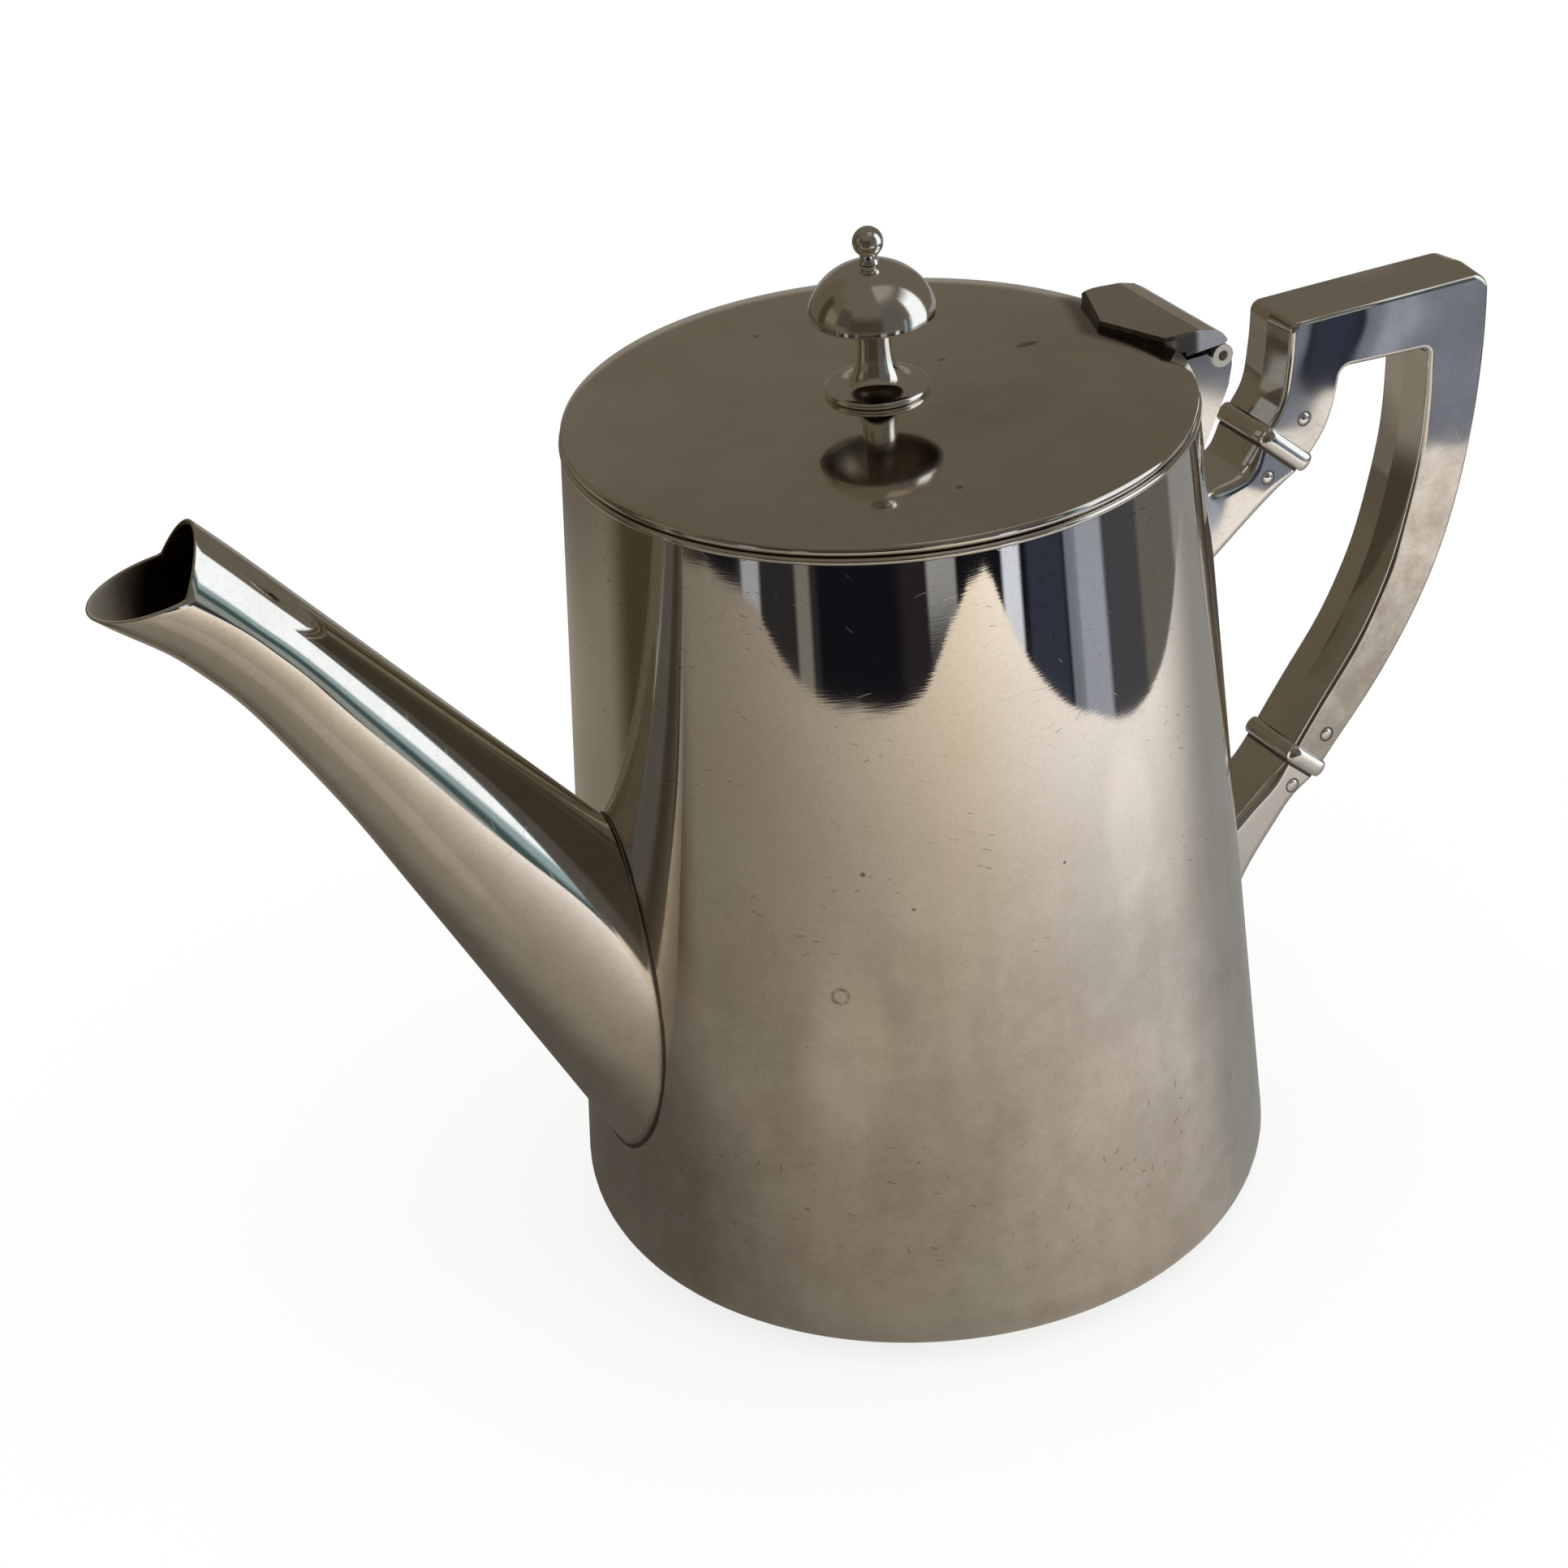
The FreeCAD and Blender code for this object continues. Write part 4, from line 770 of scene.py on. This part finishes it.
def spout_at(s, t, hollow):
    """Points of the spout's outer or inner side, at lengths s and angles t."""
    s, t = np.broadcast_arrays(np.asarray(s, float), np.asarray(t, float))
    up, low, half = spout_curve.at(s.ravel()).T.reshape((3,) + s.shape)
    wall = (1.0 - 0.3 * ease((s - 70.0) / 40.0)) if hollow else 0.0
    a, b, off = 0.5 * (up + low) - wall, half - wall, 0.5 * (up - low)
    w = b * (1 + 0.16 * ease((s - 82.0) / 28.0) * 0.5 * (1 - np.cos(t)))
    w = w * (1 - (0.115 + 0.04 * ease((70.0 - s) / 40.0)) * ease((104.0 - s) / 36.0) * np.cos(t))
    u = off + a * np.cos(t)
    return np.stack([SPOUT_O[0] + s * SPOUT_D[0] + u * SPOUT_D[1], w * np.sin(t), SPOUT_O[1] + s * SPOUT_D[1] - u * SPOUT_D[0]], -1)


def past_mouth(p):
    """True for points that the mouth's cut takes away."""
    x = p[..., 0] - MOUTH_SKEW[0] * p[..., 1]
    z = p[..., 2] - MOUTH_SKEW[1] * p[..., 1]
    hit = np.zeros(x.shape, bool)
    for (x0, z0), (x1, z1) in zip(MOUTH, MOUTH[1:] + MOUTH[:1]):
        if z0 != z1:
            hit ^= ((z0 > z) != (z1 > z)) & (x < (x1 - x0) * (z - z0) / (z1 - z0) + x0)
    return hit


def first_true(test, lo, hi, t, n=400):
    """Smallest length between lo and hi, for each angle, where test becomes true."""
    grid = np.linspace(lo, hi, n)[:, None]
    yes = test(grid, t[None, :])
    i = np.argmax(yes, 0)
    b = grid[i, 0]
    a = grid[np.maximum(i - 1, 0), 0]
    for _ in range(24):
        mid = 0.5 * (a + b)
        ok = test(mid[None, :], t[None, :])[0]
        b, a = np.where(ok, mid, b), np.where(ok, a, mid)
    return b


turn = np.linspace(0.0, math.tau, 320, endpoint=False)


def spout_side(hollow):
    end = first_true(lambda s, t: past_mouth(spout_at(s, t, hollow)), 75.0, 120.0, turn)
    root = first_true(lambda s, t: wall_gap(spout_at(s, t, hollow)) > 0.0, -25.0, 60.0, turn)
    return root, end


root_o, end_o = spout_side(False)
root_i, end_i = spout_side(True)
seam = spout_at(root_o, turn, False)
along = unit(spout_at(root_o + 0.5, turn, False) - seam)
out = unit(np.cross(np.roll(seam, -1, 0) - np.roll(seam, 1, 0), along))
FILLET = 0.6
rows = fillet_rows(seam, along, out, FILLET)
lip_o, lip_i = spout_at(end_o, turn, False), spout_at(end_i, turn, True)
lean = unit(lip_o - spout_at(end_o - 1.0, turn, False) + lip_i - spout_at(end_i - 1.0, turn, True))
mid, rad = 0.5 * (lip_o + lip_i), 0.5 * (lip_o - lip_i)
half_w = np.sqrt((rad * rad).sum(-1, keepdims=True))
N_OUT, N_IN = 96, 60
for i in range(N_OUT):
    rows.append(spout_at(root_o + FILLET + (end_o - 0.3 - root_o - FILLET) * i / (N_OUT - 1), turn, False))
for i in range(1, 8):
    a = math.pi * i / 8
    rows.append(mid + rad * math.cos(a) + lean * half_w * 0.75 * (math.sin(a) - 1.0))
for i in range(N_IN):
    rows.append(spout_at(end_i - 0.3 - (end_i - 0.3 - root_i) * i / (N_IN - 1), turn, True))
rows.append(onto_wall(rows[-1], 0.25))
spout = new_mesh("spout_tube", np.concatenate(rows), grid_faces(len(rows), len(turn), loop=True), sharp=60.0)
piece(spout, "pot", "silver", m_spout, "spout")


# ---------------------------------------------------------------------------
# Handle: outline grown level by level, with rounded edges and a seam ridge
# ---------------------------------------------------------------------------
UP_END, LOW_END = (69.48, 112.88), (72.91, 55.3)
UP_DIR, LOW_DIR = norm2((0.674, 0.739)), norm2((0.672, 0.741))
UP_H, LOW_H = 9.3, 6.3
u_ax, l_ax = across(UP_DIR), across(LOW_DIR)
up_front = (UP_END[0] - u_ax[0] * UP_H / 2, UP_END[1] - u_ax[1] * UP_H / 2)
up_back = (UP_END[0] + u_ax[0] * UP_H / 2, UP_END[1] + u_ax[1] * UP_H / 2)
low_in = (LOW_END[0] - l_ax[0] * LOW_H / 2, LOW_END[1] - l_ax[1] * LOW_H / 2)
low_out = (LOW_END[0] + l_ax[0] * LOW_H / 2, LOW_END[1] + l_ax[1] * LOW_H / 2)
RUNS = [
    [up_front, (68.25, 119.0), (69.4, 123.5), (70.05, 127.8), (70.35, 132.1)],
    [(70.35, 132.1), (88.0, 131.65), (107.0, 131.05)],
    [(107.0, 131.05), (107.0, 127.5), (106.8, 123.0), (106.3, 117.5), (105.6, 112.0), (104.75, 106.8), (103.55, 101.0),
     (101.95, 95.2), (100.25, 89.6), (98.15, 84.4), (95.75, 79.5), (93.25, 75.2), (90.2, 70.6), (86.7, 65.9), (82.7, 61.2),
     (78.5, 56.9), low_out],
    [low_in, (72.9, 60.5), (75.4, 63.7), (78.0, 66.9), (80.3, 69.5), (82.5, 72.2), (84.5, 75.3), (86.4, 78.7), (88.1, 81.8),
     (89.6, 85.0), (91.4, 90.2), (92.75, 94.8), (94.0, 99.0), (95.1, 103.5), (95.75, 108.5), (96.15, 113.5), (96.4, 118.0),
     (96.55, 121.9)],
    [(96.55, 121.9), (88.0, 122.45), (78.75, 123.2)],
    [(78.75, 123.2), (78.1, 120.0), (77.3, 117.0), (75.9, 113.6), up_back],
]
RUN_STEPS = (28, 24, 90, 84, 20, 24)
CORNERS = {(0, 1): 1.3, (1, 2): 2.6, (3, 4): 1.9, (4, 5): 2.4}


def eased_run(pts):
    """A drawn run, smoothed without moving its ends."""
    p = np.array(Curve(pts).even(61))
    for _ in range(20):
        p[1:-1] = 0.5 * p[1:-1] + 0.25 * (p[:-2] + p[2:])
    return p


def corner(a, b, r):
    """Rounding between the end of run a and the start of run b."""
    t1, t2 = a[-1] - a[-3], b[2] - b[0]
    den = t1[0] * t2[1] - t1[1] * t2[0]
    s = ((b[0][0] - a[-1][0]) * t2[1] - (b[0][1] - a[-1][1]) * t2[0]) / den
    p = a[-1] + t1 * s
    u, w = -t1 / np.hypot(*t1), t2 / np.hypot(*t2)
    half = 0.5 * math.acos(float(np.clip(u @ w, -1, 1)))
    m = (u + w) / np.hypot(*(u + w))
    c = p + m * r / math.sin(half)
    q0, q1 = p + u * r / math.tan(half), p + w * r / math.tan(half)
    a0 = math.atan2(*(q0 - c)[::-1])
    da = (math.atan2(*(q1 - c)[::-1]) - a0 + math.pi) % math.tau - math.pi
    return [(c[0] + r * math.cos(a0 + da * i / 12), c[1] + r * math.sin(a0 + da * i / 12)) for i in range(13)]


smooth = [eased_run(r) for r in RUNS]
starts, ends, arcs = [None] * 6, [None] * 6, {}
for (i, j), r in CORNERS.items():
    arcs[i] = corner(smooth[i], smooth[j], r)
    ends[i], starts[j] = arcs[i][0], arcs[i][-1]
outline, kind = [], []
for i, run in enumerate(smooth):
    pts = [tuple(p) for p in run]
    for stop, first in ((starts[i], True), (ends[i], False)):
        if stop is not None:
            k = min(range(len(pts)), key=lambda m: math.hypot(pts[m][0] - stop[0], pts[m][1] - stop[1]))
            pts = [stop] + [p for p in pts[k:] if math.hypot(p[0] - stop[0], p[1] - stop[1]) > 0.6] if first else \
                [p for p in pts[:k + 1] if math.hypot(p[0] - stop[0], p[1] - stop[1]) > 0.6] + [stop]
    pts = Curve(pts).even(RUN_STEPS[i])
    if starts[i] is not None:
        pts = pts[1:]
    outline += pts
    kind += [i] * len(pts)
    if i in arcs:
        outline += arcs[i][1:]
        kind += [i + 10] * 12
outline = np.array(outline)
n_out = len(outline)
tang = np.roll(outline, -1, 0) - np.roll(outline, 1, 0)
for i in range(n_out):
    gap_next = {(2, 3), (5, 0)}
    if (kind[i], kind[(i + 1) % n_out]) in gap_next:
        tang[i] = outline[i] - outline[i - 1]
    if (kind[i - 1], kind[i]) in gap_next:
        tang[i] = outline[(i + 1) % n_out] - outline[i]
tang /= np.hypot(tang[:, 0], tang[:, 1])[:, None]
normal2 = np.stack([-tang[:, 1], tang[:, 0]], 1)
low_gap = next(i for i in range(n_out) if (kind[i], kind[(i + 1) % n_out]) == (2, 3))

GROW, RIDGE, EDGE = 0.5, 0.5, 0.85
side_tilt = math.atan2(RIDGE + 0.03, 6.0 - EDGE)
levels = []                                   # y, growth, part of the normal along the outline, part along y
for i in range(9):
    a = math.radians(90.0 * i / 8)
    b = a * (math.pi / 2 - side_tilt) / (math.pi / 2)
    levels.append((-6.0 + EDGE * (1 - math.cos(a)), GROW - EDGE + EDGE * math.sin(a), math.sin(b), -math.cos(b)))
for f in (0.33, 0.67):
    levels.append((-5.15 * (1 - f), GROW + RIDGE * f, math.cos(side_tilt), -math.sin(side_tilt)))
levels.append((0.0, GROW + RIDGE, math.cos(side_tilt), -math.sin(side_tilt)))
levels += [(-y, g, a, -b) for y, g, a, b in reversed(levels[:-1])]
ridge_row = len(levels) // 2


def end_clamp(p, i):
    """Keeps a point of the handle above its flat ends."""
    for end, d, edges in ((UP_END, UP_DIR, (0, n_out - 1)), (LOW_END, LOW_DIR, (low_gap, low_gap + 1))):
        s = (p[0] - end[0]) * d[0] + (p[1] - end[1]) * d[1]
        if math.hypot(p[0] - end[0], p[1] - end[1]) < 9.0 and (s < 0.0 or i in edges):
            p = (p[0] - s * d[0], p[1] - s * d[1])
    return p


verts = []
for y, g, _, _ in levels:
    for i in range(n_out):
        p = end_clamp((outline[i][0] + normal2[i][0] * g, outline[i][1] + normal2[i][1] * g), i)
        verts.append((p[0], y, p[1]))
faces, corner_normals = [], []
for r in range(len(levels) - 1):
    for j in range(n_out):
        k = (j + 1) % n_out
        faces.append((r * n_out + j, r * n_out + k, (r + 1) * n_out + k, (r + 1) * n_out + j))
        flat = {(2, 3): (-LOW_DIR[0], 0.0, -LOW_DIR[1]), (5, 0): (-UP_DIR[0], 0.0, -UP_DIR[1])}.get((kind[j], kind[k]))
        for row, col in ((r, j), (r, k), (r + 1, k), (r + 1, j)):
            a, b = levels[row][2], levels[row][3]
            if row == ridge_row and r == ridge_row:
                b = -b
            corner_normals.append(flat or (normal2[col][0] * a, b, normal2[col][1] * a))
last = (len(levels) - 1) * n_out
faces.append(tuple(reversed(range(n_out))))
corner_normals += [(0.0, -1.0, 0.0)] * n_out
faces.append(tuple(range(last, last + n_out)))
corner_normals += [(0.0, 1.0, 0.0)] * n_out
piece(new_mesh("handle_loop", verts, faces, normals=corner_normals), "pot", "silver", m_grip, "handle")


# ---------------------------------------------------------------------------
# Collars, sockets and cross pins of the handle
# ---------------------------------------------------------------------------
def capped(rows):
    """Closed solid from rings, with a flat face at both ends."""
    k = len(rows[0])
    fs = grid_faces(len(rows), k)
    fs.append(tuple(reversed(range(k))))
    fs.append(tuple(range((len(rows) - 1) * k, len(rows) * k)))
    return np.concatenate(rows), fs


def collar(end, d, length, h):
    rows = []
    for i in range(25):
        t = math.pi * i / 24
        s = -length * 0.5 * (1 - math.cos(t))
        g = 0.95 * max(math.sin(t), 0.0) ** 0.8 if 0 < i < 24 else 0.0
        rows.append(section((end[0] + d[0] * s, end[1] + d[1] * s), d, h, 6.15, 0.9, g))
    return capped(rows)


piece(new_mesh("upper_bead", *collar(UP_END, UP_DIR, 3.2, UP_H + 0.5), sharp=50.0), "pot", "silver", m_small, "upper_collar")
piece(new_mesh("lower_bead", *collar(LOW_END, LOW_DIR, 3.0, LOW_H + 0.7), sharp=50.0), "pot", "silver", m_small, "lower_collar")


def arm(end, d, length, h, spec, size):
    """Flared arm from the insulator to the wall, with a solder fillet."""
    c = (end[0] - d[0] * (length + 0.5), end[1] - d[1] * (length + 0.5))
    secs = [section(c, d, h, 6.05, 0.9)]
    for (ux, uz), (lx, lz), half in spec:
        aa = norm2((lx - ux, lz - uz))
        secs.append(section(((ux + lx) / 2, (uz + lz) / 2), (-aa[1], aa[0]), math.hypot(lx - ux, lz - uz), half, 1.5, 0.35))
    k = len(secs[0])
    gaps = [float(np.sqrt(((b - a) ** 2).sum(1)).mean()) for a, b in zip(secs, secs[1:])]
    path = Curve([s.ravel() for s in secs], np.concatenate([[0.0], np.cumsum(gaps)]))
    ts = np.linspace(0.0, path.t[-1], 900)
    dense = path.at(ts).reshape(len(ts), k, 3)
    gap = wall_gap(dense)
    hit = np.argmax(gap < 0.0, 0)
    cols = np.arange(k)
    g0, g1 = gap[hit - 1, cols], gap[hit, cols]
    stop = ts[hit - 1] + (ts[hit] - ts[hit - 1]) * g0 / (g0 - g1)

    def at(t):
        f = np.clip(t / ts[-1] * (len(ts) - 1), 0.0, len(ts) - 1.001)
        i = f.astype(int)
        w = (f - i)[:, None]
        return dense[i, cols] * (1 - w) + dense[i + 1, cols] * w

    seam = at(stop)
    along = unit(at(stop - 0.6) - seam)
    out = unit(np.cross(np.roll(seam, -1, 0) - np.roll(seam, 1, 0), along))
    out *= np.sign((out * (seam - seam.mean(0))).sum(1, keepdims=True))
    rows = [at((stop - size) * i / 40.0) for i in range(41)]
    return capped(rows + list(reversed(fillet_rows(seam, along, out, size))))


UP_ARM = [((61.6, 110.1), (67.4, 105.2), 5.8), ((58.0, 108.75), (62.4, 101.9), 5.85), ((54.0, 108.35), (57.1, 98.2), 6.0),
          ((50.5, 108.9), (52.0, 94.8), 6.5), ((46.5, 110.2), (46.8, 90.5), 7.4)]
LOW_ARM = [((65.6, 52.5), (69.7, 48.2), 5.8), ((62.0, 49.8), (66.3, 44.6), 5.8), ((58.6, 47.3), (62.6, 40.4), 5.9),
           ((55.6, 45.4), (58.6, 35.2), 6.2), ((52.5, 44.2), (54.6, 29.5), 6.9), ((49.0, 43.8), (49.6, 26.0), 7.6)]
piece(new_mesh("upper_arm", *arm(UP_END, UP_DIR, 3.2, 9.4, UP_ARM, 0.9), sharp=45.0), "pot", "silver", m_arm, "upper_socket")
piece(new_mesh("lower_arm", *arm(LOW_END, LOW_DIR, 3.0, 6.9, LOW_ARM, 0.9), sharp=45.0), "pot", "silver", m_arm, "lower_socket")


def pin_pair(pair):
    vs, fs = [], []
    for i in pair:
        half = 6.15 if i in (0, 2) else 6.25
        dome = [(0.45, 0.012), (0.75, 0.06), (0.95, 0.16), (1.06, 0.32), (1.1, 0.55)]
        profile = [(0.0, -half)] + [(r, -half + h) for r, h in dome] + [(r, half - h) for r, h in reversed(dome)] + [(0.0, half)]
        v, f = lathe(profile, 40, loop=False, axis="Y", at=PINS[i], first=len(vs))
        vs += v
        fs += f
    return vs, fs


piece(new_mesh("upper_cross_pins", *pin_pair((0, 1)), sharp=60.0), "pot", "silver", m_small, "upper_pins")
piece(new_mesh("lower_cross_pins", *pin_pair((2, 3)), sharp=60.0), "pot", "silver", m_small, "lower_pins")

for ob, body, finish, stands_for in PIECES:
    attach(ob, body)
    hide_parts(*stands_for)


# ---------------------------------------------------------------------------
# Stage: pale floor, soft light, and cards that only the polished metal sees
# ---------------------------------------------------------------------------
def stage_mesh(name, verts, faces, mat):
    me = bpy.data.meshes.new(name)
    me.from_pydata(verts, [], faces)
    me.materials.append(mat)
    mat.cycles.emission_sampling = "NONE"
    ob = bpy.data.objects.new(name, me)
    scene.collection.objects.link(ob)
    return ob


def glossy_only(ob):
    ob.visible_camera = False
    ob.visible_diffuse = False
    ob.visible_transmission = False
    ob.visible_volume_scatter = False
    ob.visible_shadow = False
    return ob


def floor_material():
    n = Net("floor_paper")
    g = n.new("ShaderNodeNewGeometry")
    d = n.new("ShaderNodeBsdfDiffuse")
    d.inputs["Color"].default_value = (0.90, 0.90, 0.90, 1.0)
    lit = n.new("ShaderNodeEmission")
    lit.inputs["Color"].default_value = (1.0, 1.0, 0.995, 1.0)
    both = n.new("ShaderNodeMixShader")
    both.inputs[0].default_value = 0.80
    n.put(both.inputs[1], d.outputs[0])
    n.put(both.inputs[2], lit.outputs[0])
    t = n.new("ShaderNodeBsdfTransparent")
    s = n.new("ShaderNodeMixShader")
    n.put(s.inputs[0], g.outputs["Backfacing"])
    n.put(s.inputs[1], both.outputs[0])
    n.put(s.inputs[2], t.outputs[0])
    n.put(n.out.inputs[0], s.outputs[0])
    return n.mat


ring = [(6.0 * math.cos(math.tau * i / 48), 6.0 * math.sin(math.tau * i / 48), -0.0002) for i in range(48)]
floor = stage_mesh("floor", ring, [tuple(range(48))], floor_material())
floor.visible_glossy = False

SILVER_K = 1.0 / 0.86


def ground_material():
    """Warm pale ground: brighter away from the pot, as painted shade round its foot, and towards the light, with a
    painted shadow of the pot to its left, grey on the right.
    """
    n = Net("ground_card")
    g = n.new("ShaderNodeNewGeometry")
    p = n.vm("SCALE", g.outputs["Position"], 1000.0)
    x, y, z = n.xyz(p)
    r = n.vm("LENGTH", n.vec(x, y, 0.0))
    v = n.m("ADD", n.m("MULTIPLY_ADD", x, 0.2012, 114.5), n.m("MULTIPLY_ADD", y, -0.0896, n.m("MULTIPLY", r, 0.236)))
    # Painted shadow of the pot on the ground card, to its left and behind, then three brighter patches.
    v = n.m("SUBTRACT", v, n.m("MULTIPLY", n.spot(p, (-60.0, 40.0, 0.0), 100.0), 29.5))
    v = n.m("ADD", v, n.m("MULTIPLY", n.spot(p, (45.0, -72.0, 0.0), 80.0), 17.0))
    v = n.m("ADD", v, n.m("MULTIPLY", n.spot(p, (155.0, -150.0, 0.0), 50.0), 13.0))
    v = n.m("ADD", v, n.m("MULTIPLY", n.spot(p, (-117.0, -108.0, 0.0), 45.0), 15.0))
    light = n.m("MULTIPLY", n.m("POWER", n.m("DIVIDE", v, 255.0), 2.25), SILVER_K)
    tint = n.mix(n.step(x, -70.0, 130.0), (1.0, 0.860, 0.680, 1.0), (1.0, 0.930, 0.860, 1.0))
    turn = n.m("MULTIPLY", n.m("ARCTAN2", n.m("ADD", y, 45.0), n.m("SUBTRACT", x, 10.0)), 180.0 / math.pi)
    grey = n.m("MULTIPLY", n.step(turn, -22.0, 14.0), n.step(x, 5.0, 45.0))
    col = n.mix(grey, n.vm("SCALE", tint, light), lin(137, 136, 132, SILVER_K))
    col = n.mix(n.step(y, 190.0, 310.0), col, lin(100, 93, 81, SILVER_K))
    back = n.m("MULTIPLY", n.step(y, 45.0, 120.0), n.step(x, -10.0, 70.0))
    col = n.mix(back, col, lin(70, 65, 58, SILVER_K))
    lx, ly = n.m("ADD", x, 51.0), n.m("ADD", y, 5.0)
    turn = n.m("MULTIPLY", n.m("ARCTAN2", ly, lx), 180.0 / math.pi)
    far_left = n.m("MULTIPLY", n.step(turn, 121.0, 139.0), n.step(turn, 172.0, 158.0))
    far_left = n.m("MULTIPLY", far_left, n.step(n.vm("LENGTH", n.vec(lx, ly, 0.0)), 80.0, 150.0))
    col = n.mix(n.m("MULTIPLY", far_left, 0.95), col, lin(62, 53, 37, SILVER_K))
    e = n.new("ShaderNodeEmission")
    n.put(e.inputs[0], col)
    n.put(n.out.inputs[0], e.outputs[0])
    return n.mat


GROUND = [(-372, 60), (-385, 0), (-371, -78), (-352, -114), (-312, -147), (-209, -248), (-108, -313), (-62, -360), (-20, -390), (20, -396),
          (36, -386), (69, -337), (113, -287), (168, -222), (216, -145), (256, -82), (298, -27), (318, 12), (-30, 470), (-220, 430), (-420, 240)]
ground = stage_mesh("ground_card", [(x * MM, y * MM, -0.0001) for x, y in GROUND], [tuple(range(len(GROUND)))], ground_material())
glossy_only(ground)


def surround_material():
    """Soft surroundings by direction: azimuth and height in degrees."""
    n = Net("studio_cards")
    g = n.new("ShaderNodeNewGeometry")
    d = n.vm("NORMALIZE", n.vm("SUBTRACT", g.outputs["Position"], (0.0, 0.0, 0.1)))
    x, y, z = n.xyz(d)
    az = n.m("MULTIPLY", n.m("ARCTAN2", y, x), 180.0 / math.pi)
    el = n.m("MULTIPLY", n.m("ARCSINE", z), 180.0 / math.pi)
    col = n.mix(n.step(el, -18.0, -12.0), lin(17, 17, 22, SILVER_K), lin(97, 90, 78, SILVER_K))

    def band(v, a, b, soft):
        return n.m("MULTIPLY", n.step(v, a - soft, a + soft), n.step(v, b + soft, b - soft))

    def card(a0, a1, e0, e1, colour, soft=0.8):
        nonlocal col
        col = n.mix(n.m("MULTIPLY", band(az, a0, a1, soft), band(el, e0, e1, soft)), col, lin(*colour, SILVER_K))

    card(-165, -98, -11, 28, (64, 58, 48), 9.0)
    card(-98, -58, -11, 45, (86, 84, 81), 6.0)
    card(100, 174, -10, 50, (90, 82, 67), 8.0)
    card(131.5, 149, -10, 36, (64, 56, 46), 3.0)
    card(150, 174, 4, 24, (114, 107, 90), 5.0)
    card(174, 190, 4, 38, (70, 66, 56), 5.0)
    card(-190, -160, 4, 38, (70, 66, 56), 5.0)
    card(-100, -10, 60, 100, (140, 132, 122), 9.0)
    card(45, 85, -8, 7, (132, 125, 114), 4.0)
    card(-172, -143, -80, -13, (40, 38, 39), 1.0)
    card(-170, -163.5, -80, -13, (150, 152, 157))
    card(-150.5, -145.5, -80, -13, (112, 108, 99))
    card(-115, -104, -80, -13, (36, 32, 34), 2.5)
    card(-105.5, -95.5, -20.7, -13, (140, 140, 138))
    card(-79, -72.6, -80, -13, (210, 216, 228))
    card(-70, -56, -80, -18, (48, 51, 66), 1.2)
    card(-55, -51, -80, -18, (112, 117, 129))
    card(-51, -38.5, -80, -18, (148, 152, 165), 1.5)
    card(-38.5, -22, -80, -18, (66, 67, 72), 2.0)
    card(-22, 0, -80, -13, (98, 95, 89), 2.0)
    card(0, 84, -80, -6, (137, 137, 135), 2.0)
    card(84, 172, -80, -10, (70, 63, 50), 6.0)
    card(-62, -56, -18, 12, (130, 138, 134))
    card(-56, -51, -17, 12, (58, 77, 76), 1.2)
    card(-51, -44, -17, 12, (140, 160, 164), 1.8)
    box = n.m("MULTIPLY", band(az, -46.0, -9.5, 1.6), n.m("MULTIPLY", n.step(el, -18.0, -16.0), n.step(el, 54.0, 32.0)))
    col = n.mix(box, col, lin(246, 251, 255, SILVER_K))
    e = n.new("ShaderNodeEmission")
    n.put(e.inputs[0], col)
    n.put(n.out.inputs[0], e.outputs[0])
    return n.mat


def dome_mesh(radius, centre, rows, cols):
    vs, fs = [], []
    for i in range(rows + 1):
        t = math.pi * i / rows
        for j in range(cols):
            a = math.tau * j / cols
            vs.append((centre[0] + radius * math.sin(t) * math.cos(a), centre[1] + radius * math.sin(t) * math.sin(a),
                       centre[2] + radius * math.cos(t)))
    for i in range(rows):
        for j in range(cols):
            k = (j + 1) % cols
            fs.append((i * cols + j, (i + 1) * cols + j, (i + 1) * cols + k, i * cols + k))
    return vs, fs


surround = stage_mesh("studio_cards", *dome_mesh(5.0, (0.0, 0.0, 0.1), 24, 48), surround_material())
glossy_only(surround)

world = bpy.data.worlds.new("studio")
world.use_nodes = True
world.node_tree.nodes["Background"].inputs[0].default_value = (1.0, 1.0, 1.0, 1.0)
world.node_tree.nodes["Background"].inputs[1].default_value = 1.08
world.cycles_visibility.glossy = False
scene.world = world


def soft_light(name, place, aim, size, power):
    li = bpy.data.lights.new(name, "AREA")
    li.shape = "DISK"
    li.size = size
    li.energy = power
    ob = bpy.data.objects.new(name, li)
    scene.collection.objects.link(ob)
    ob.location = place
    ob.rotation_euler = (Vector(aim) - Vector(place)).to_track_quat("-Z", "Y").to_euler()
    ob.visible_glossy = False
    return ob


soft_light("key", (0.6, -0.5, 1.6), (0.0, 0.0, 0.05), 1.4, 5.0)
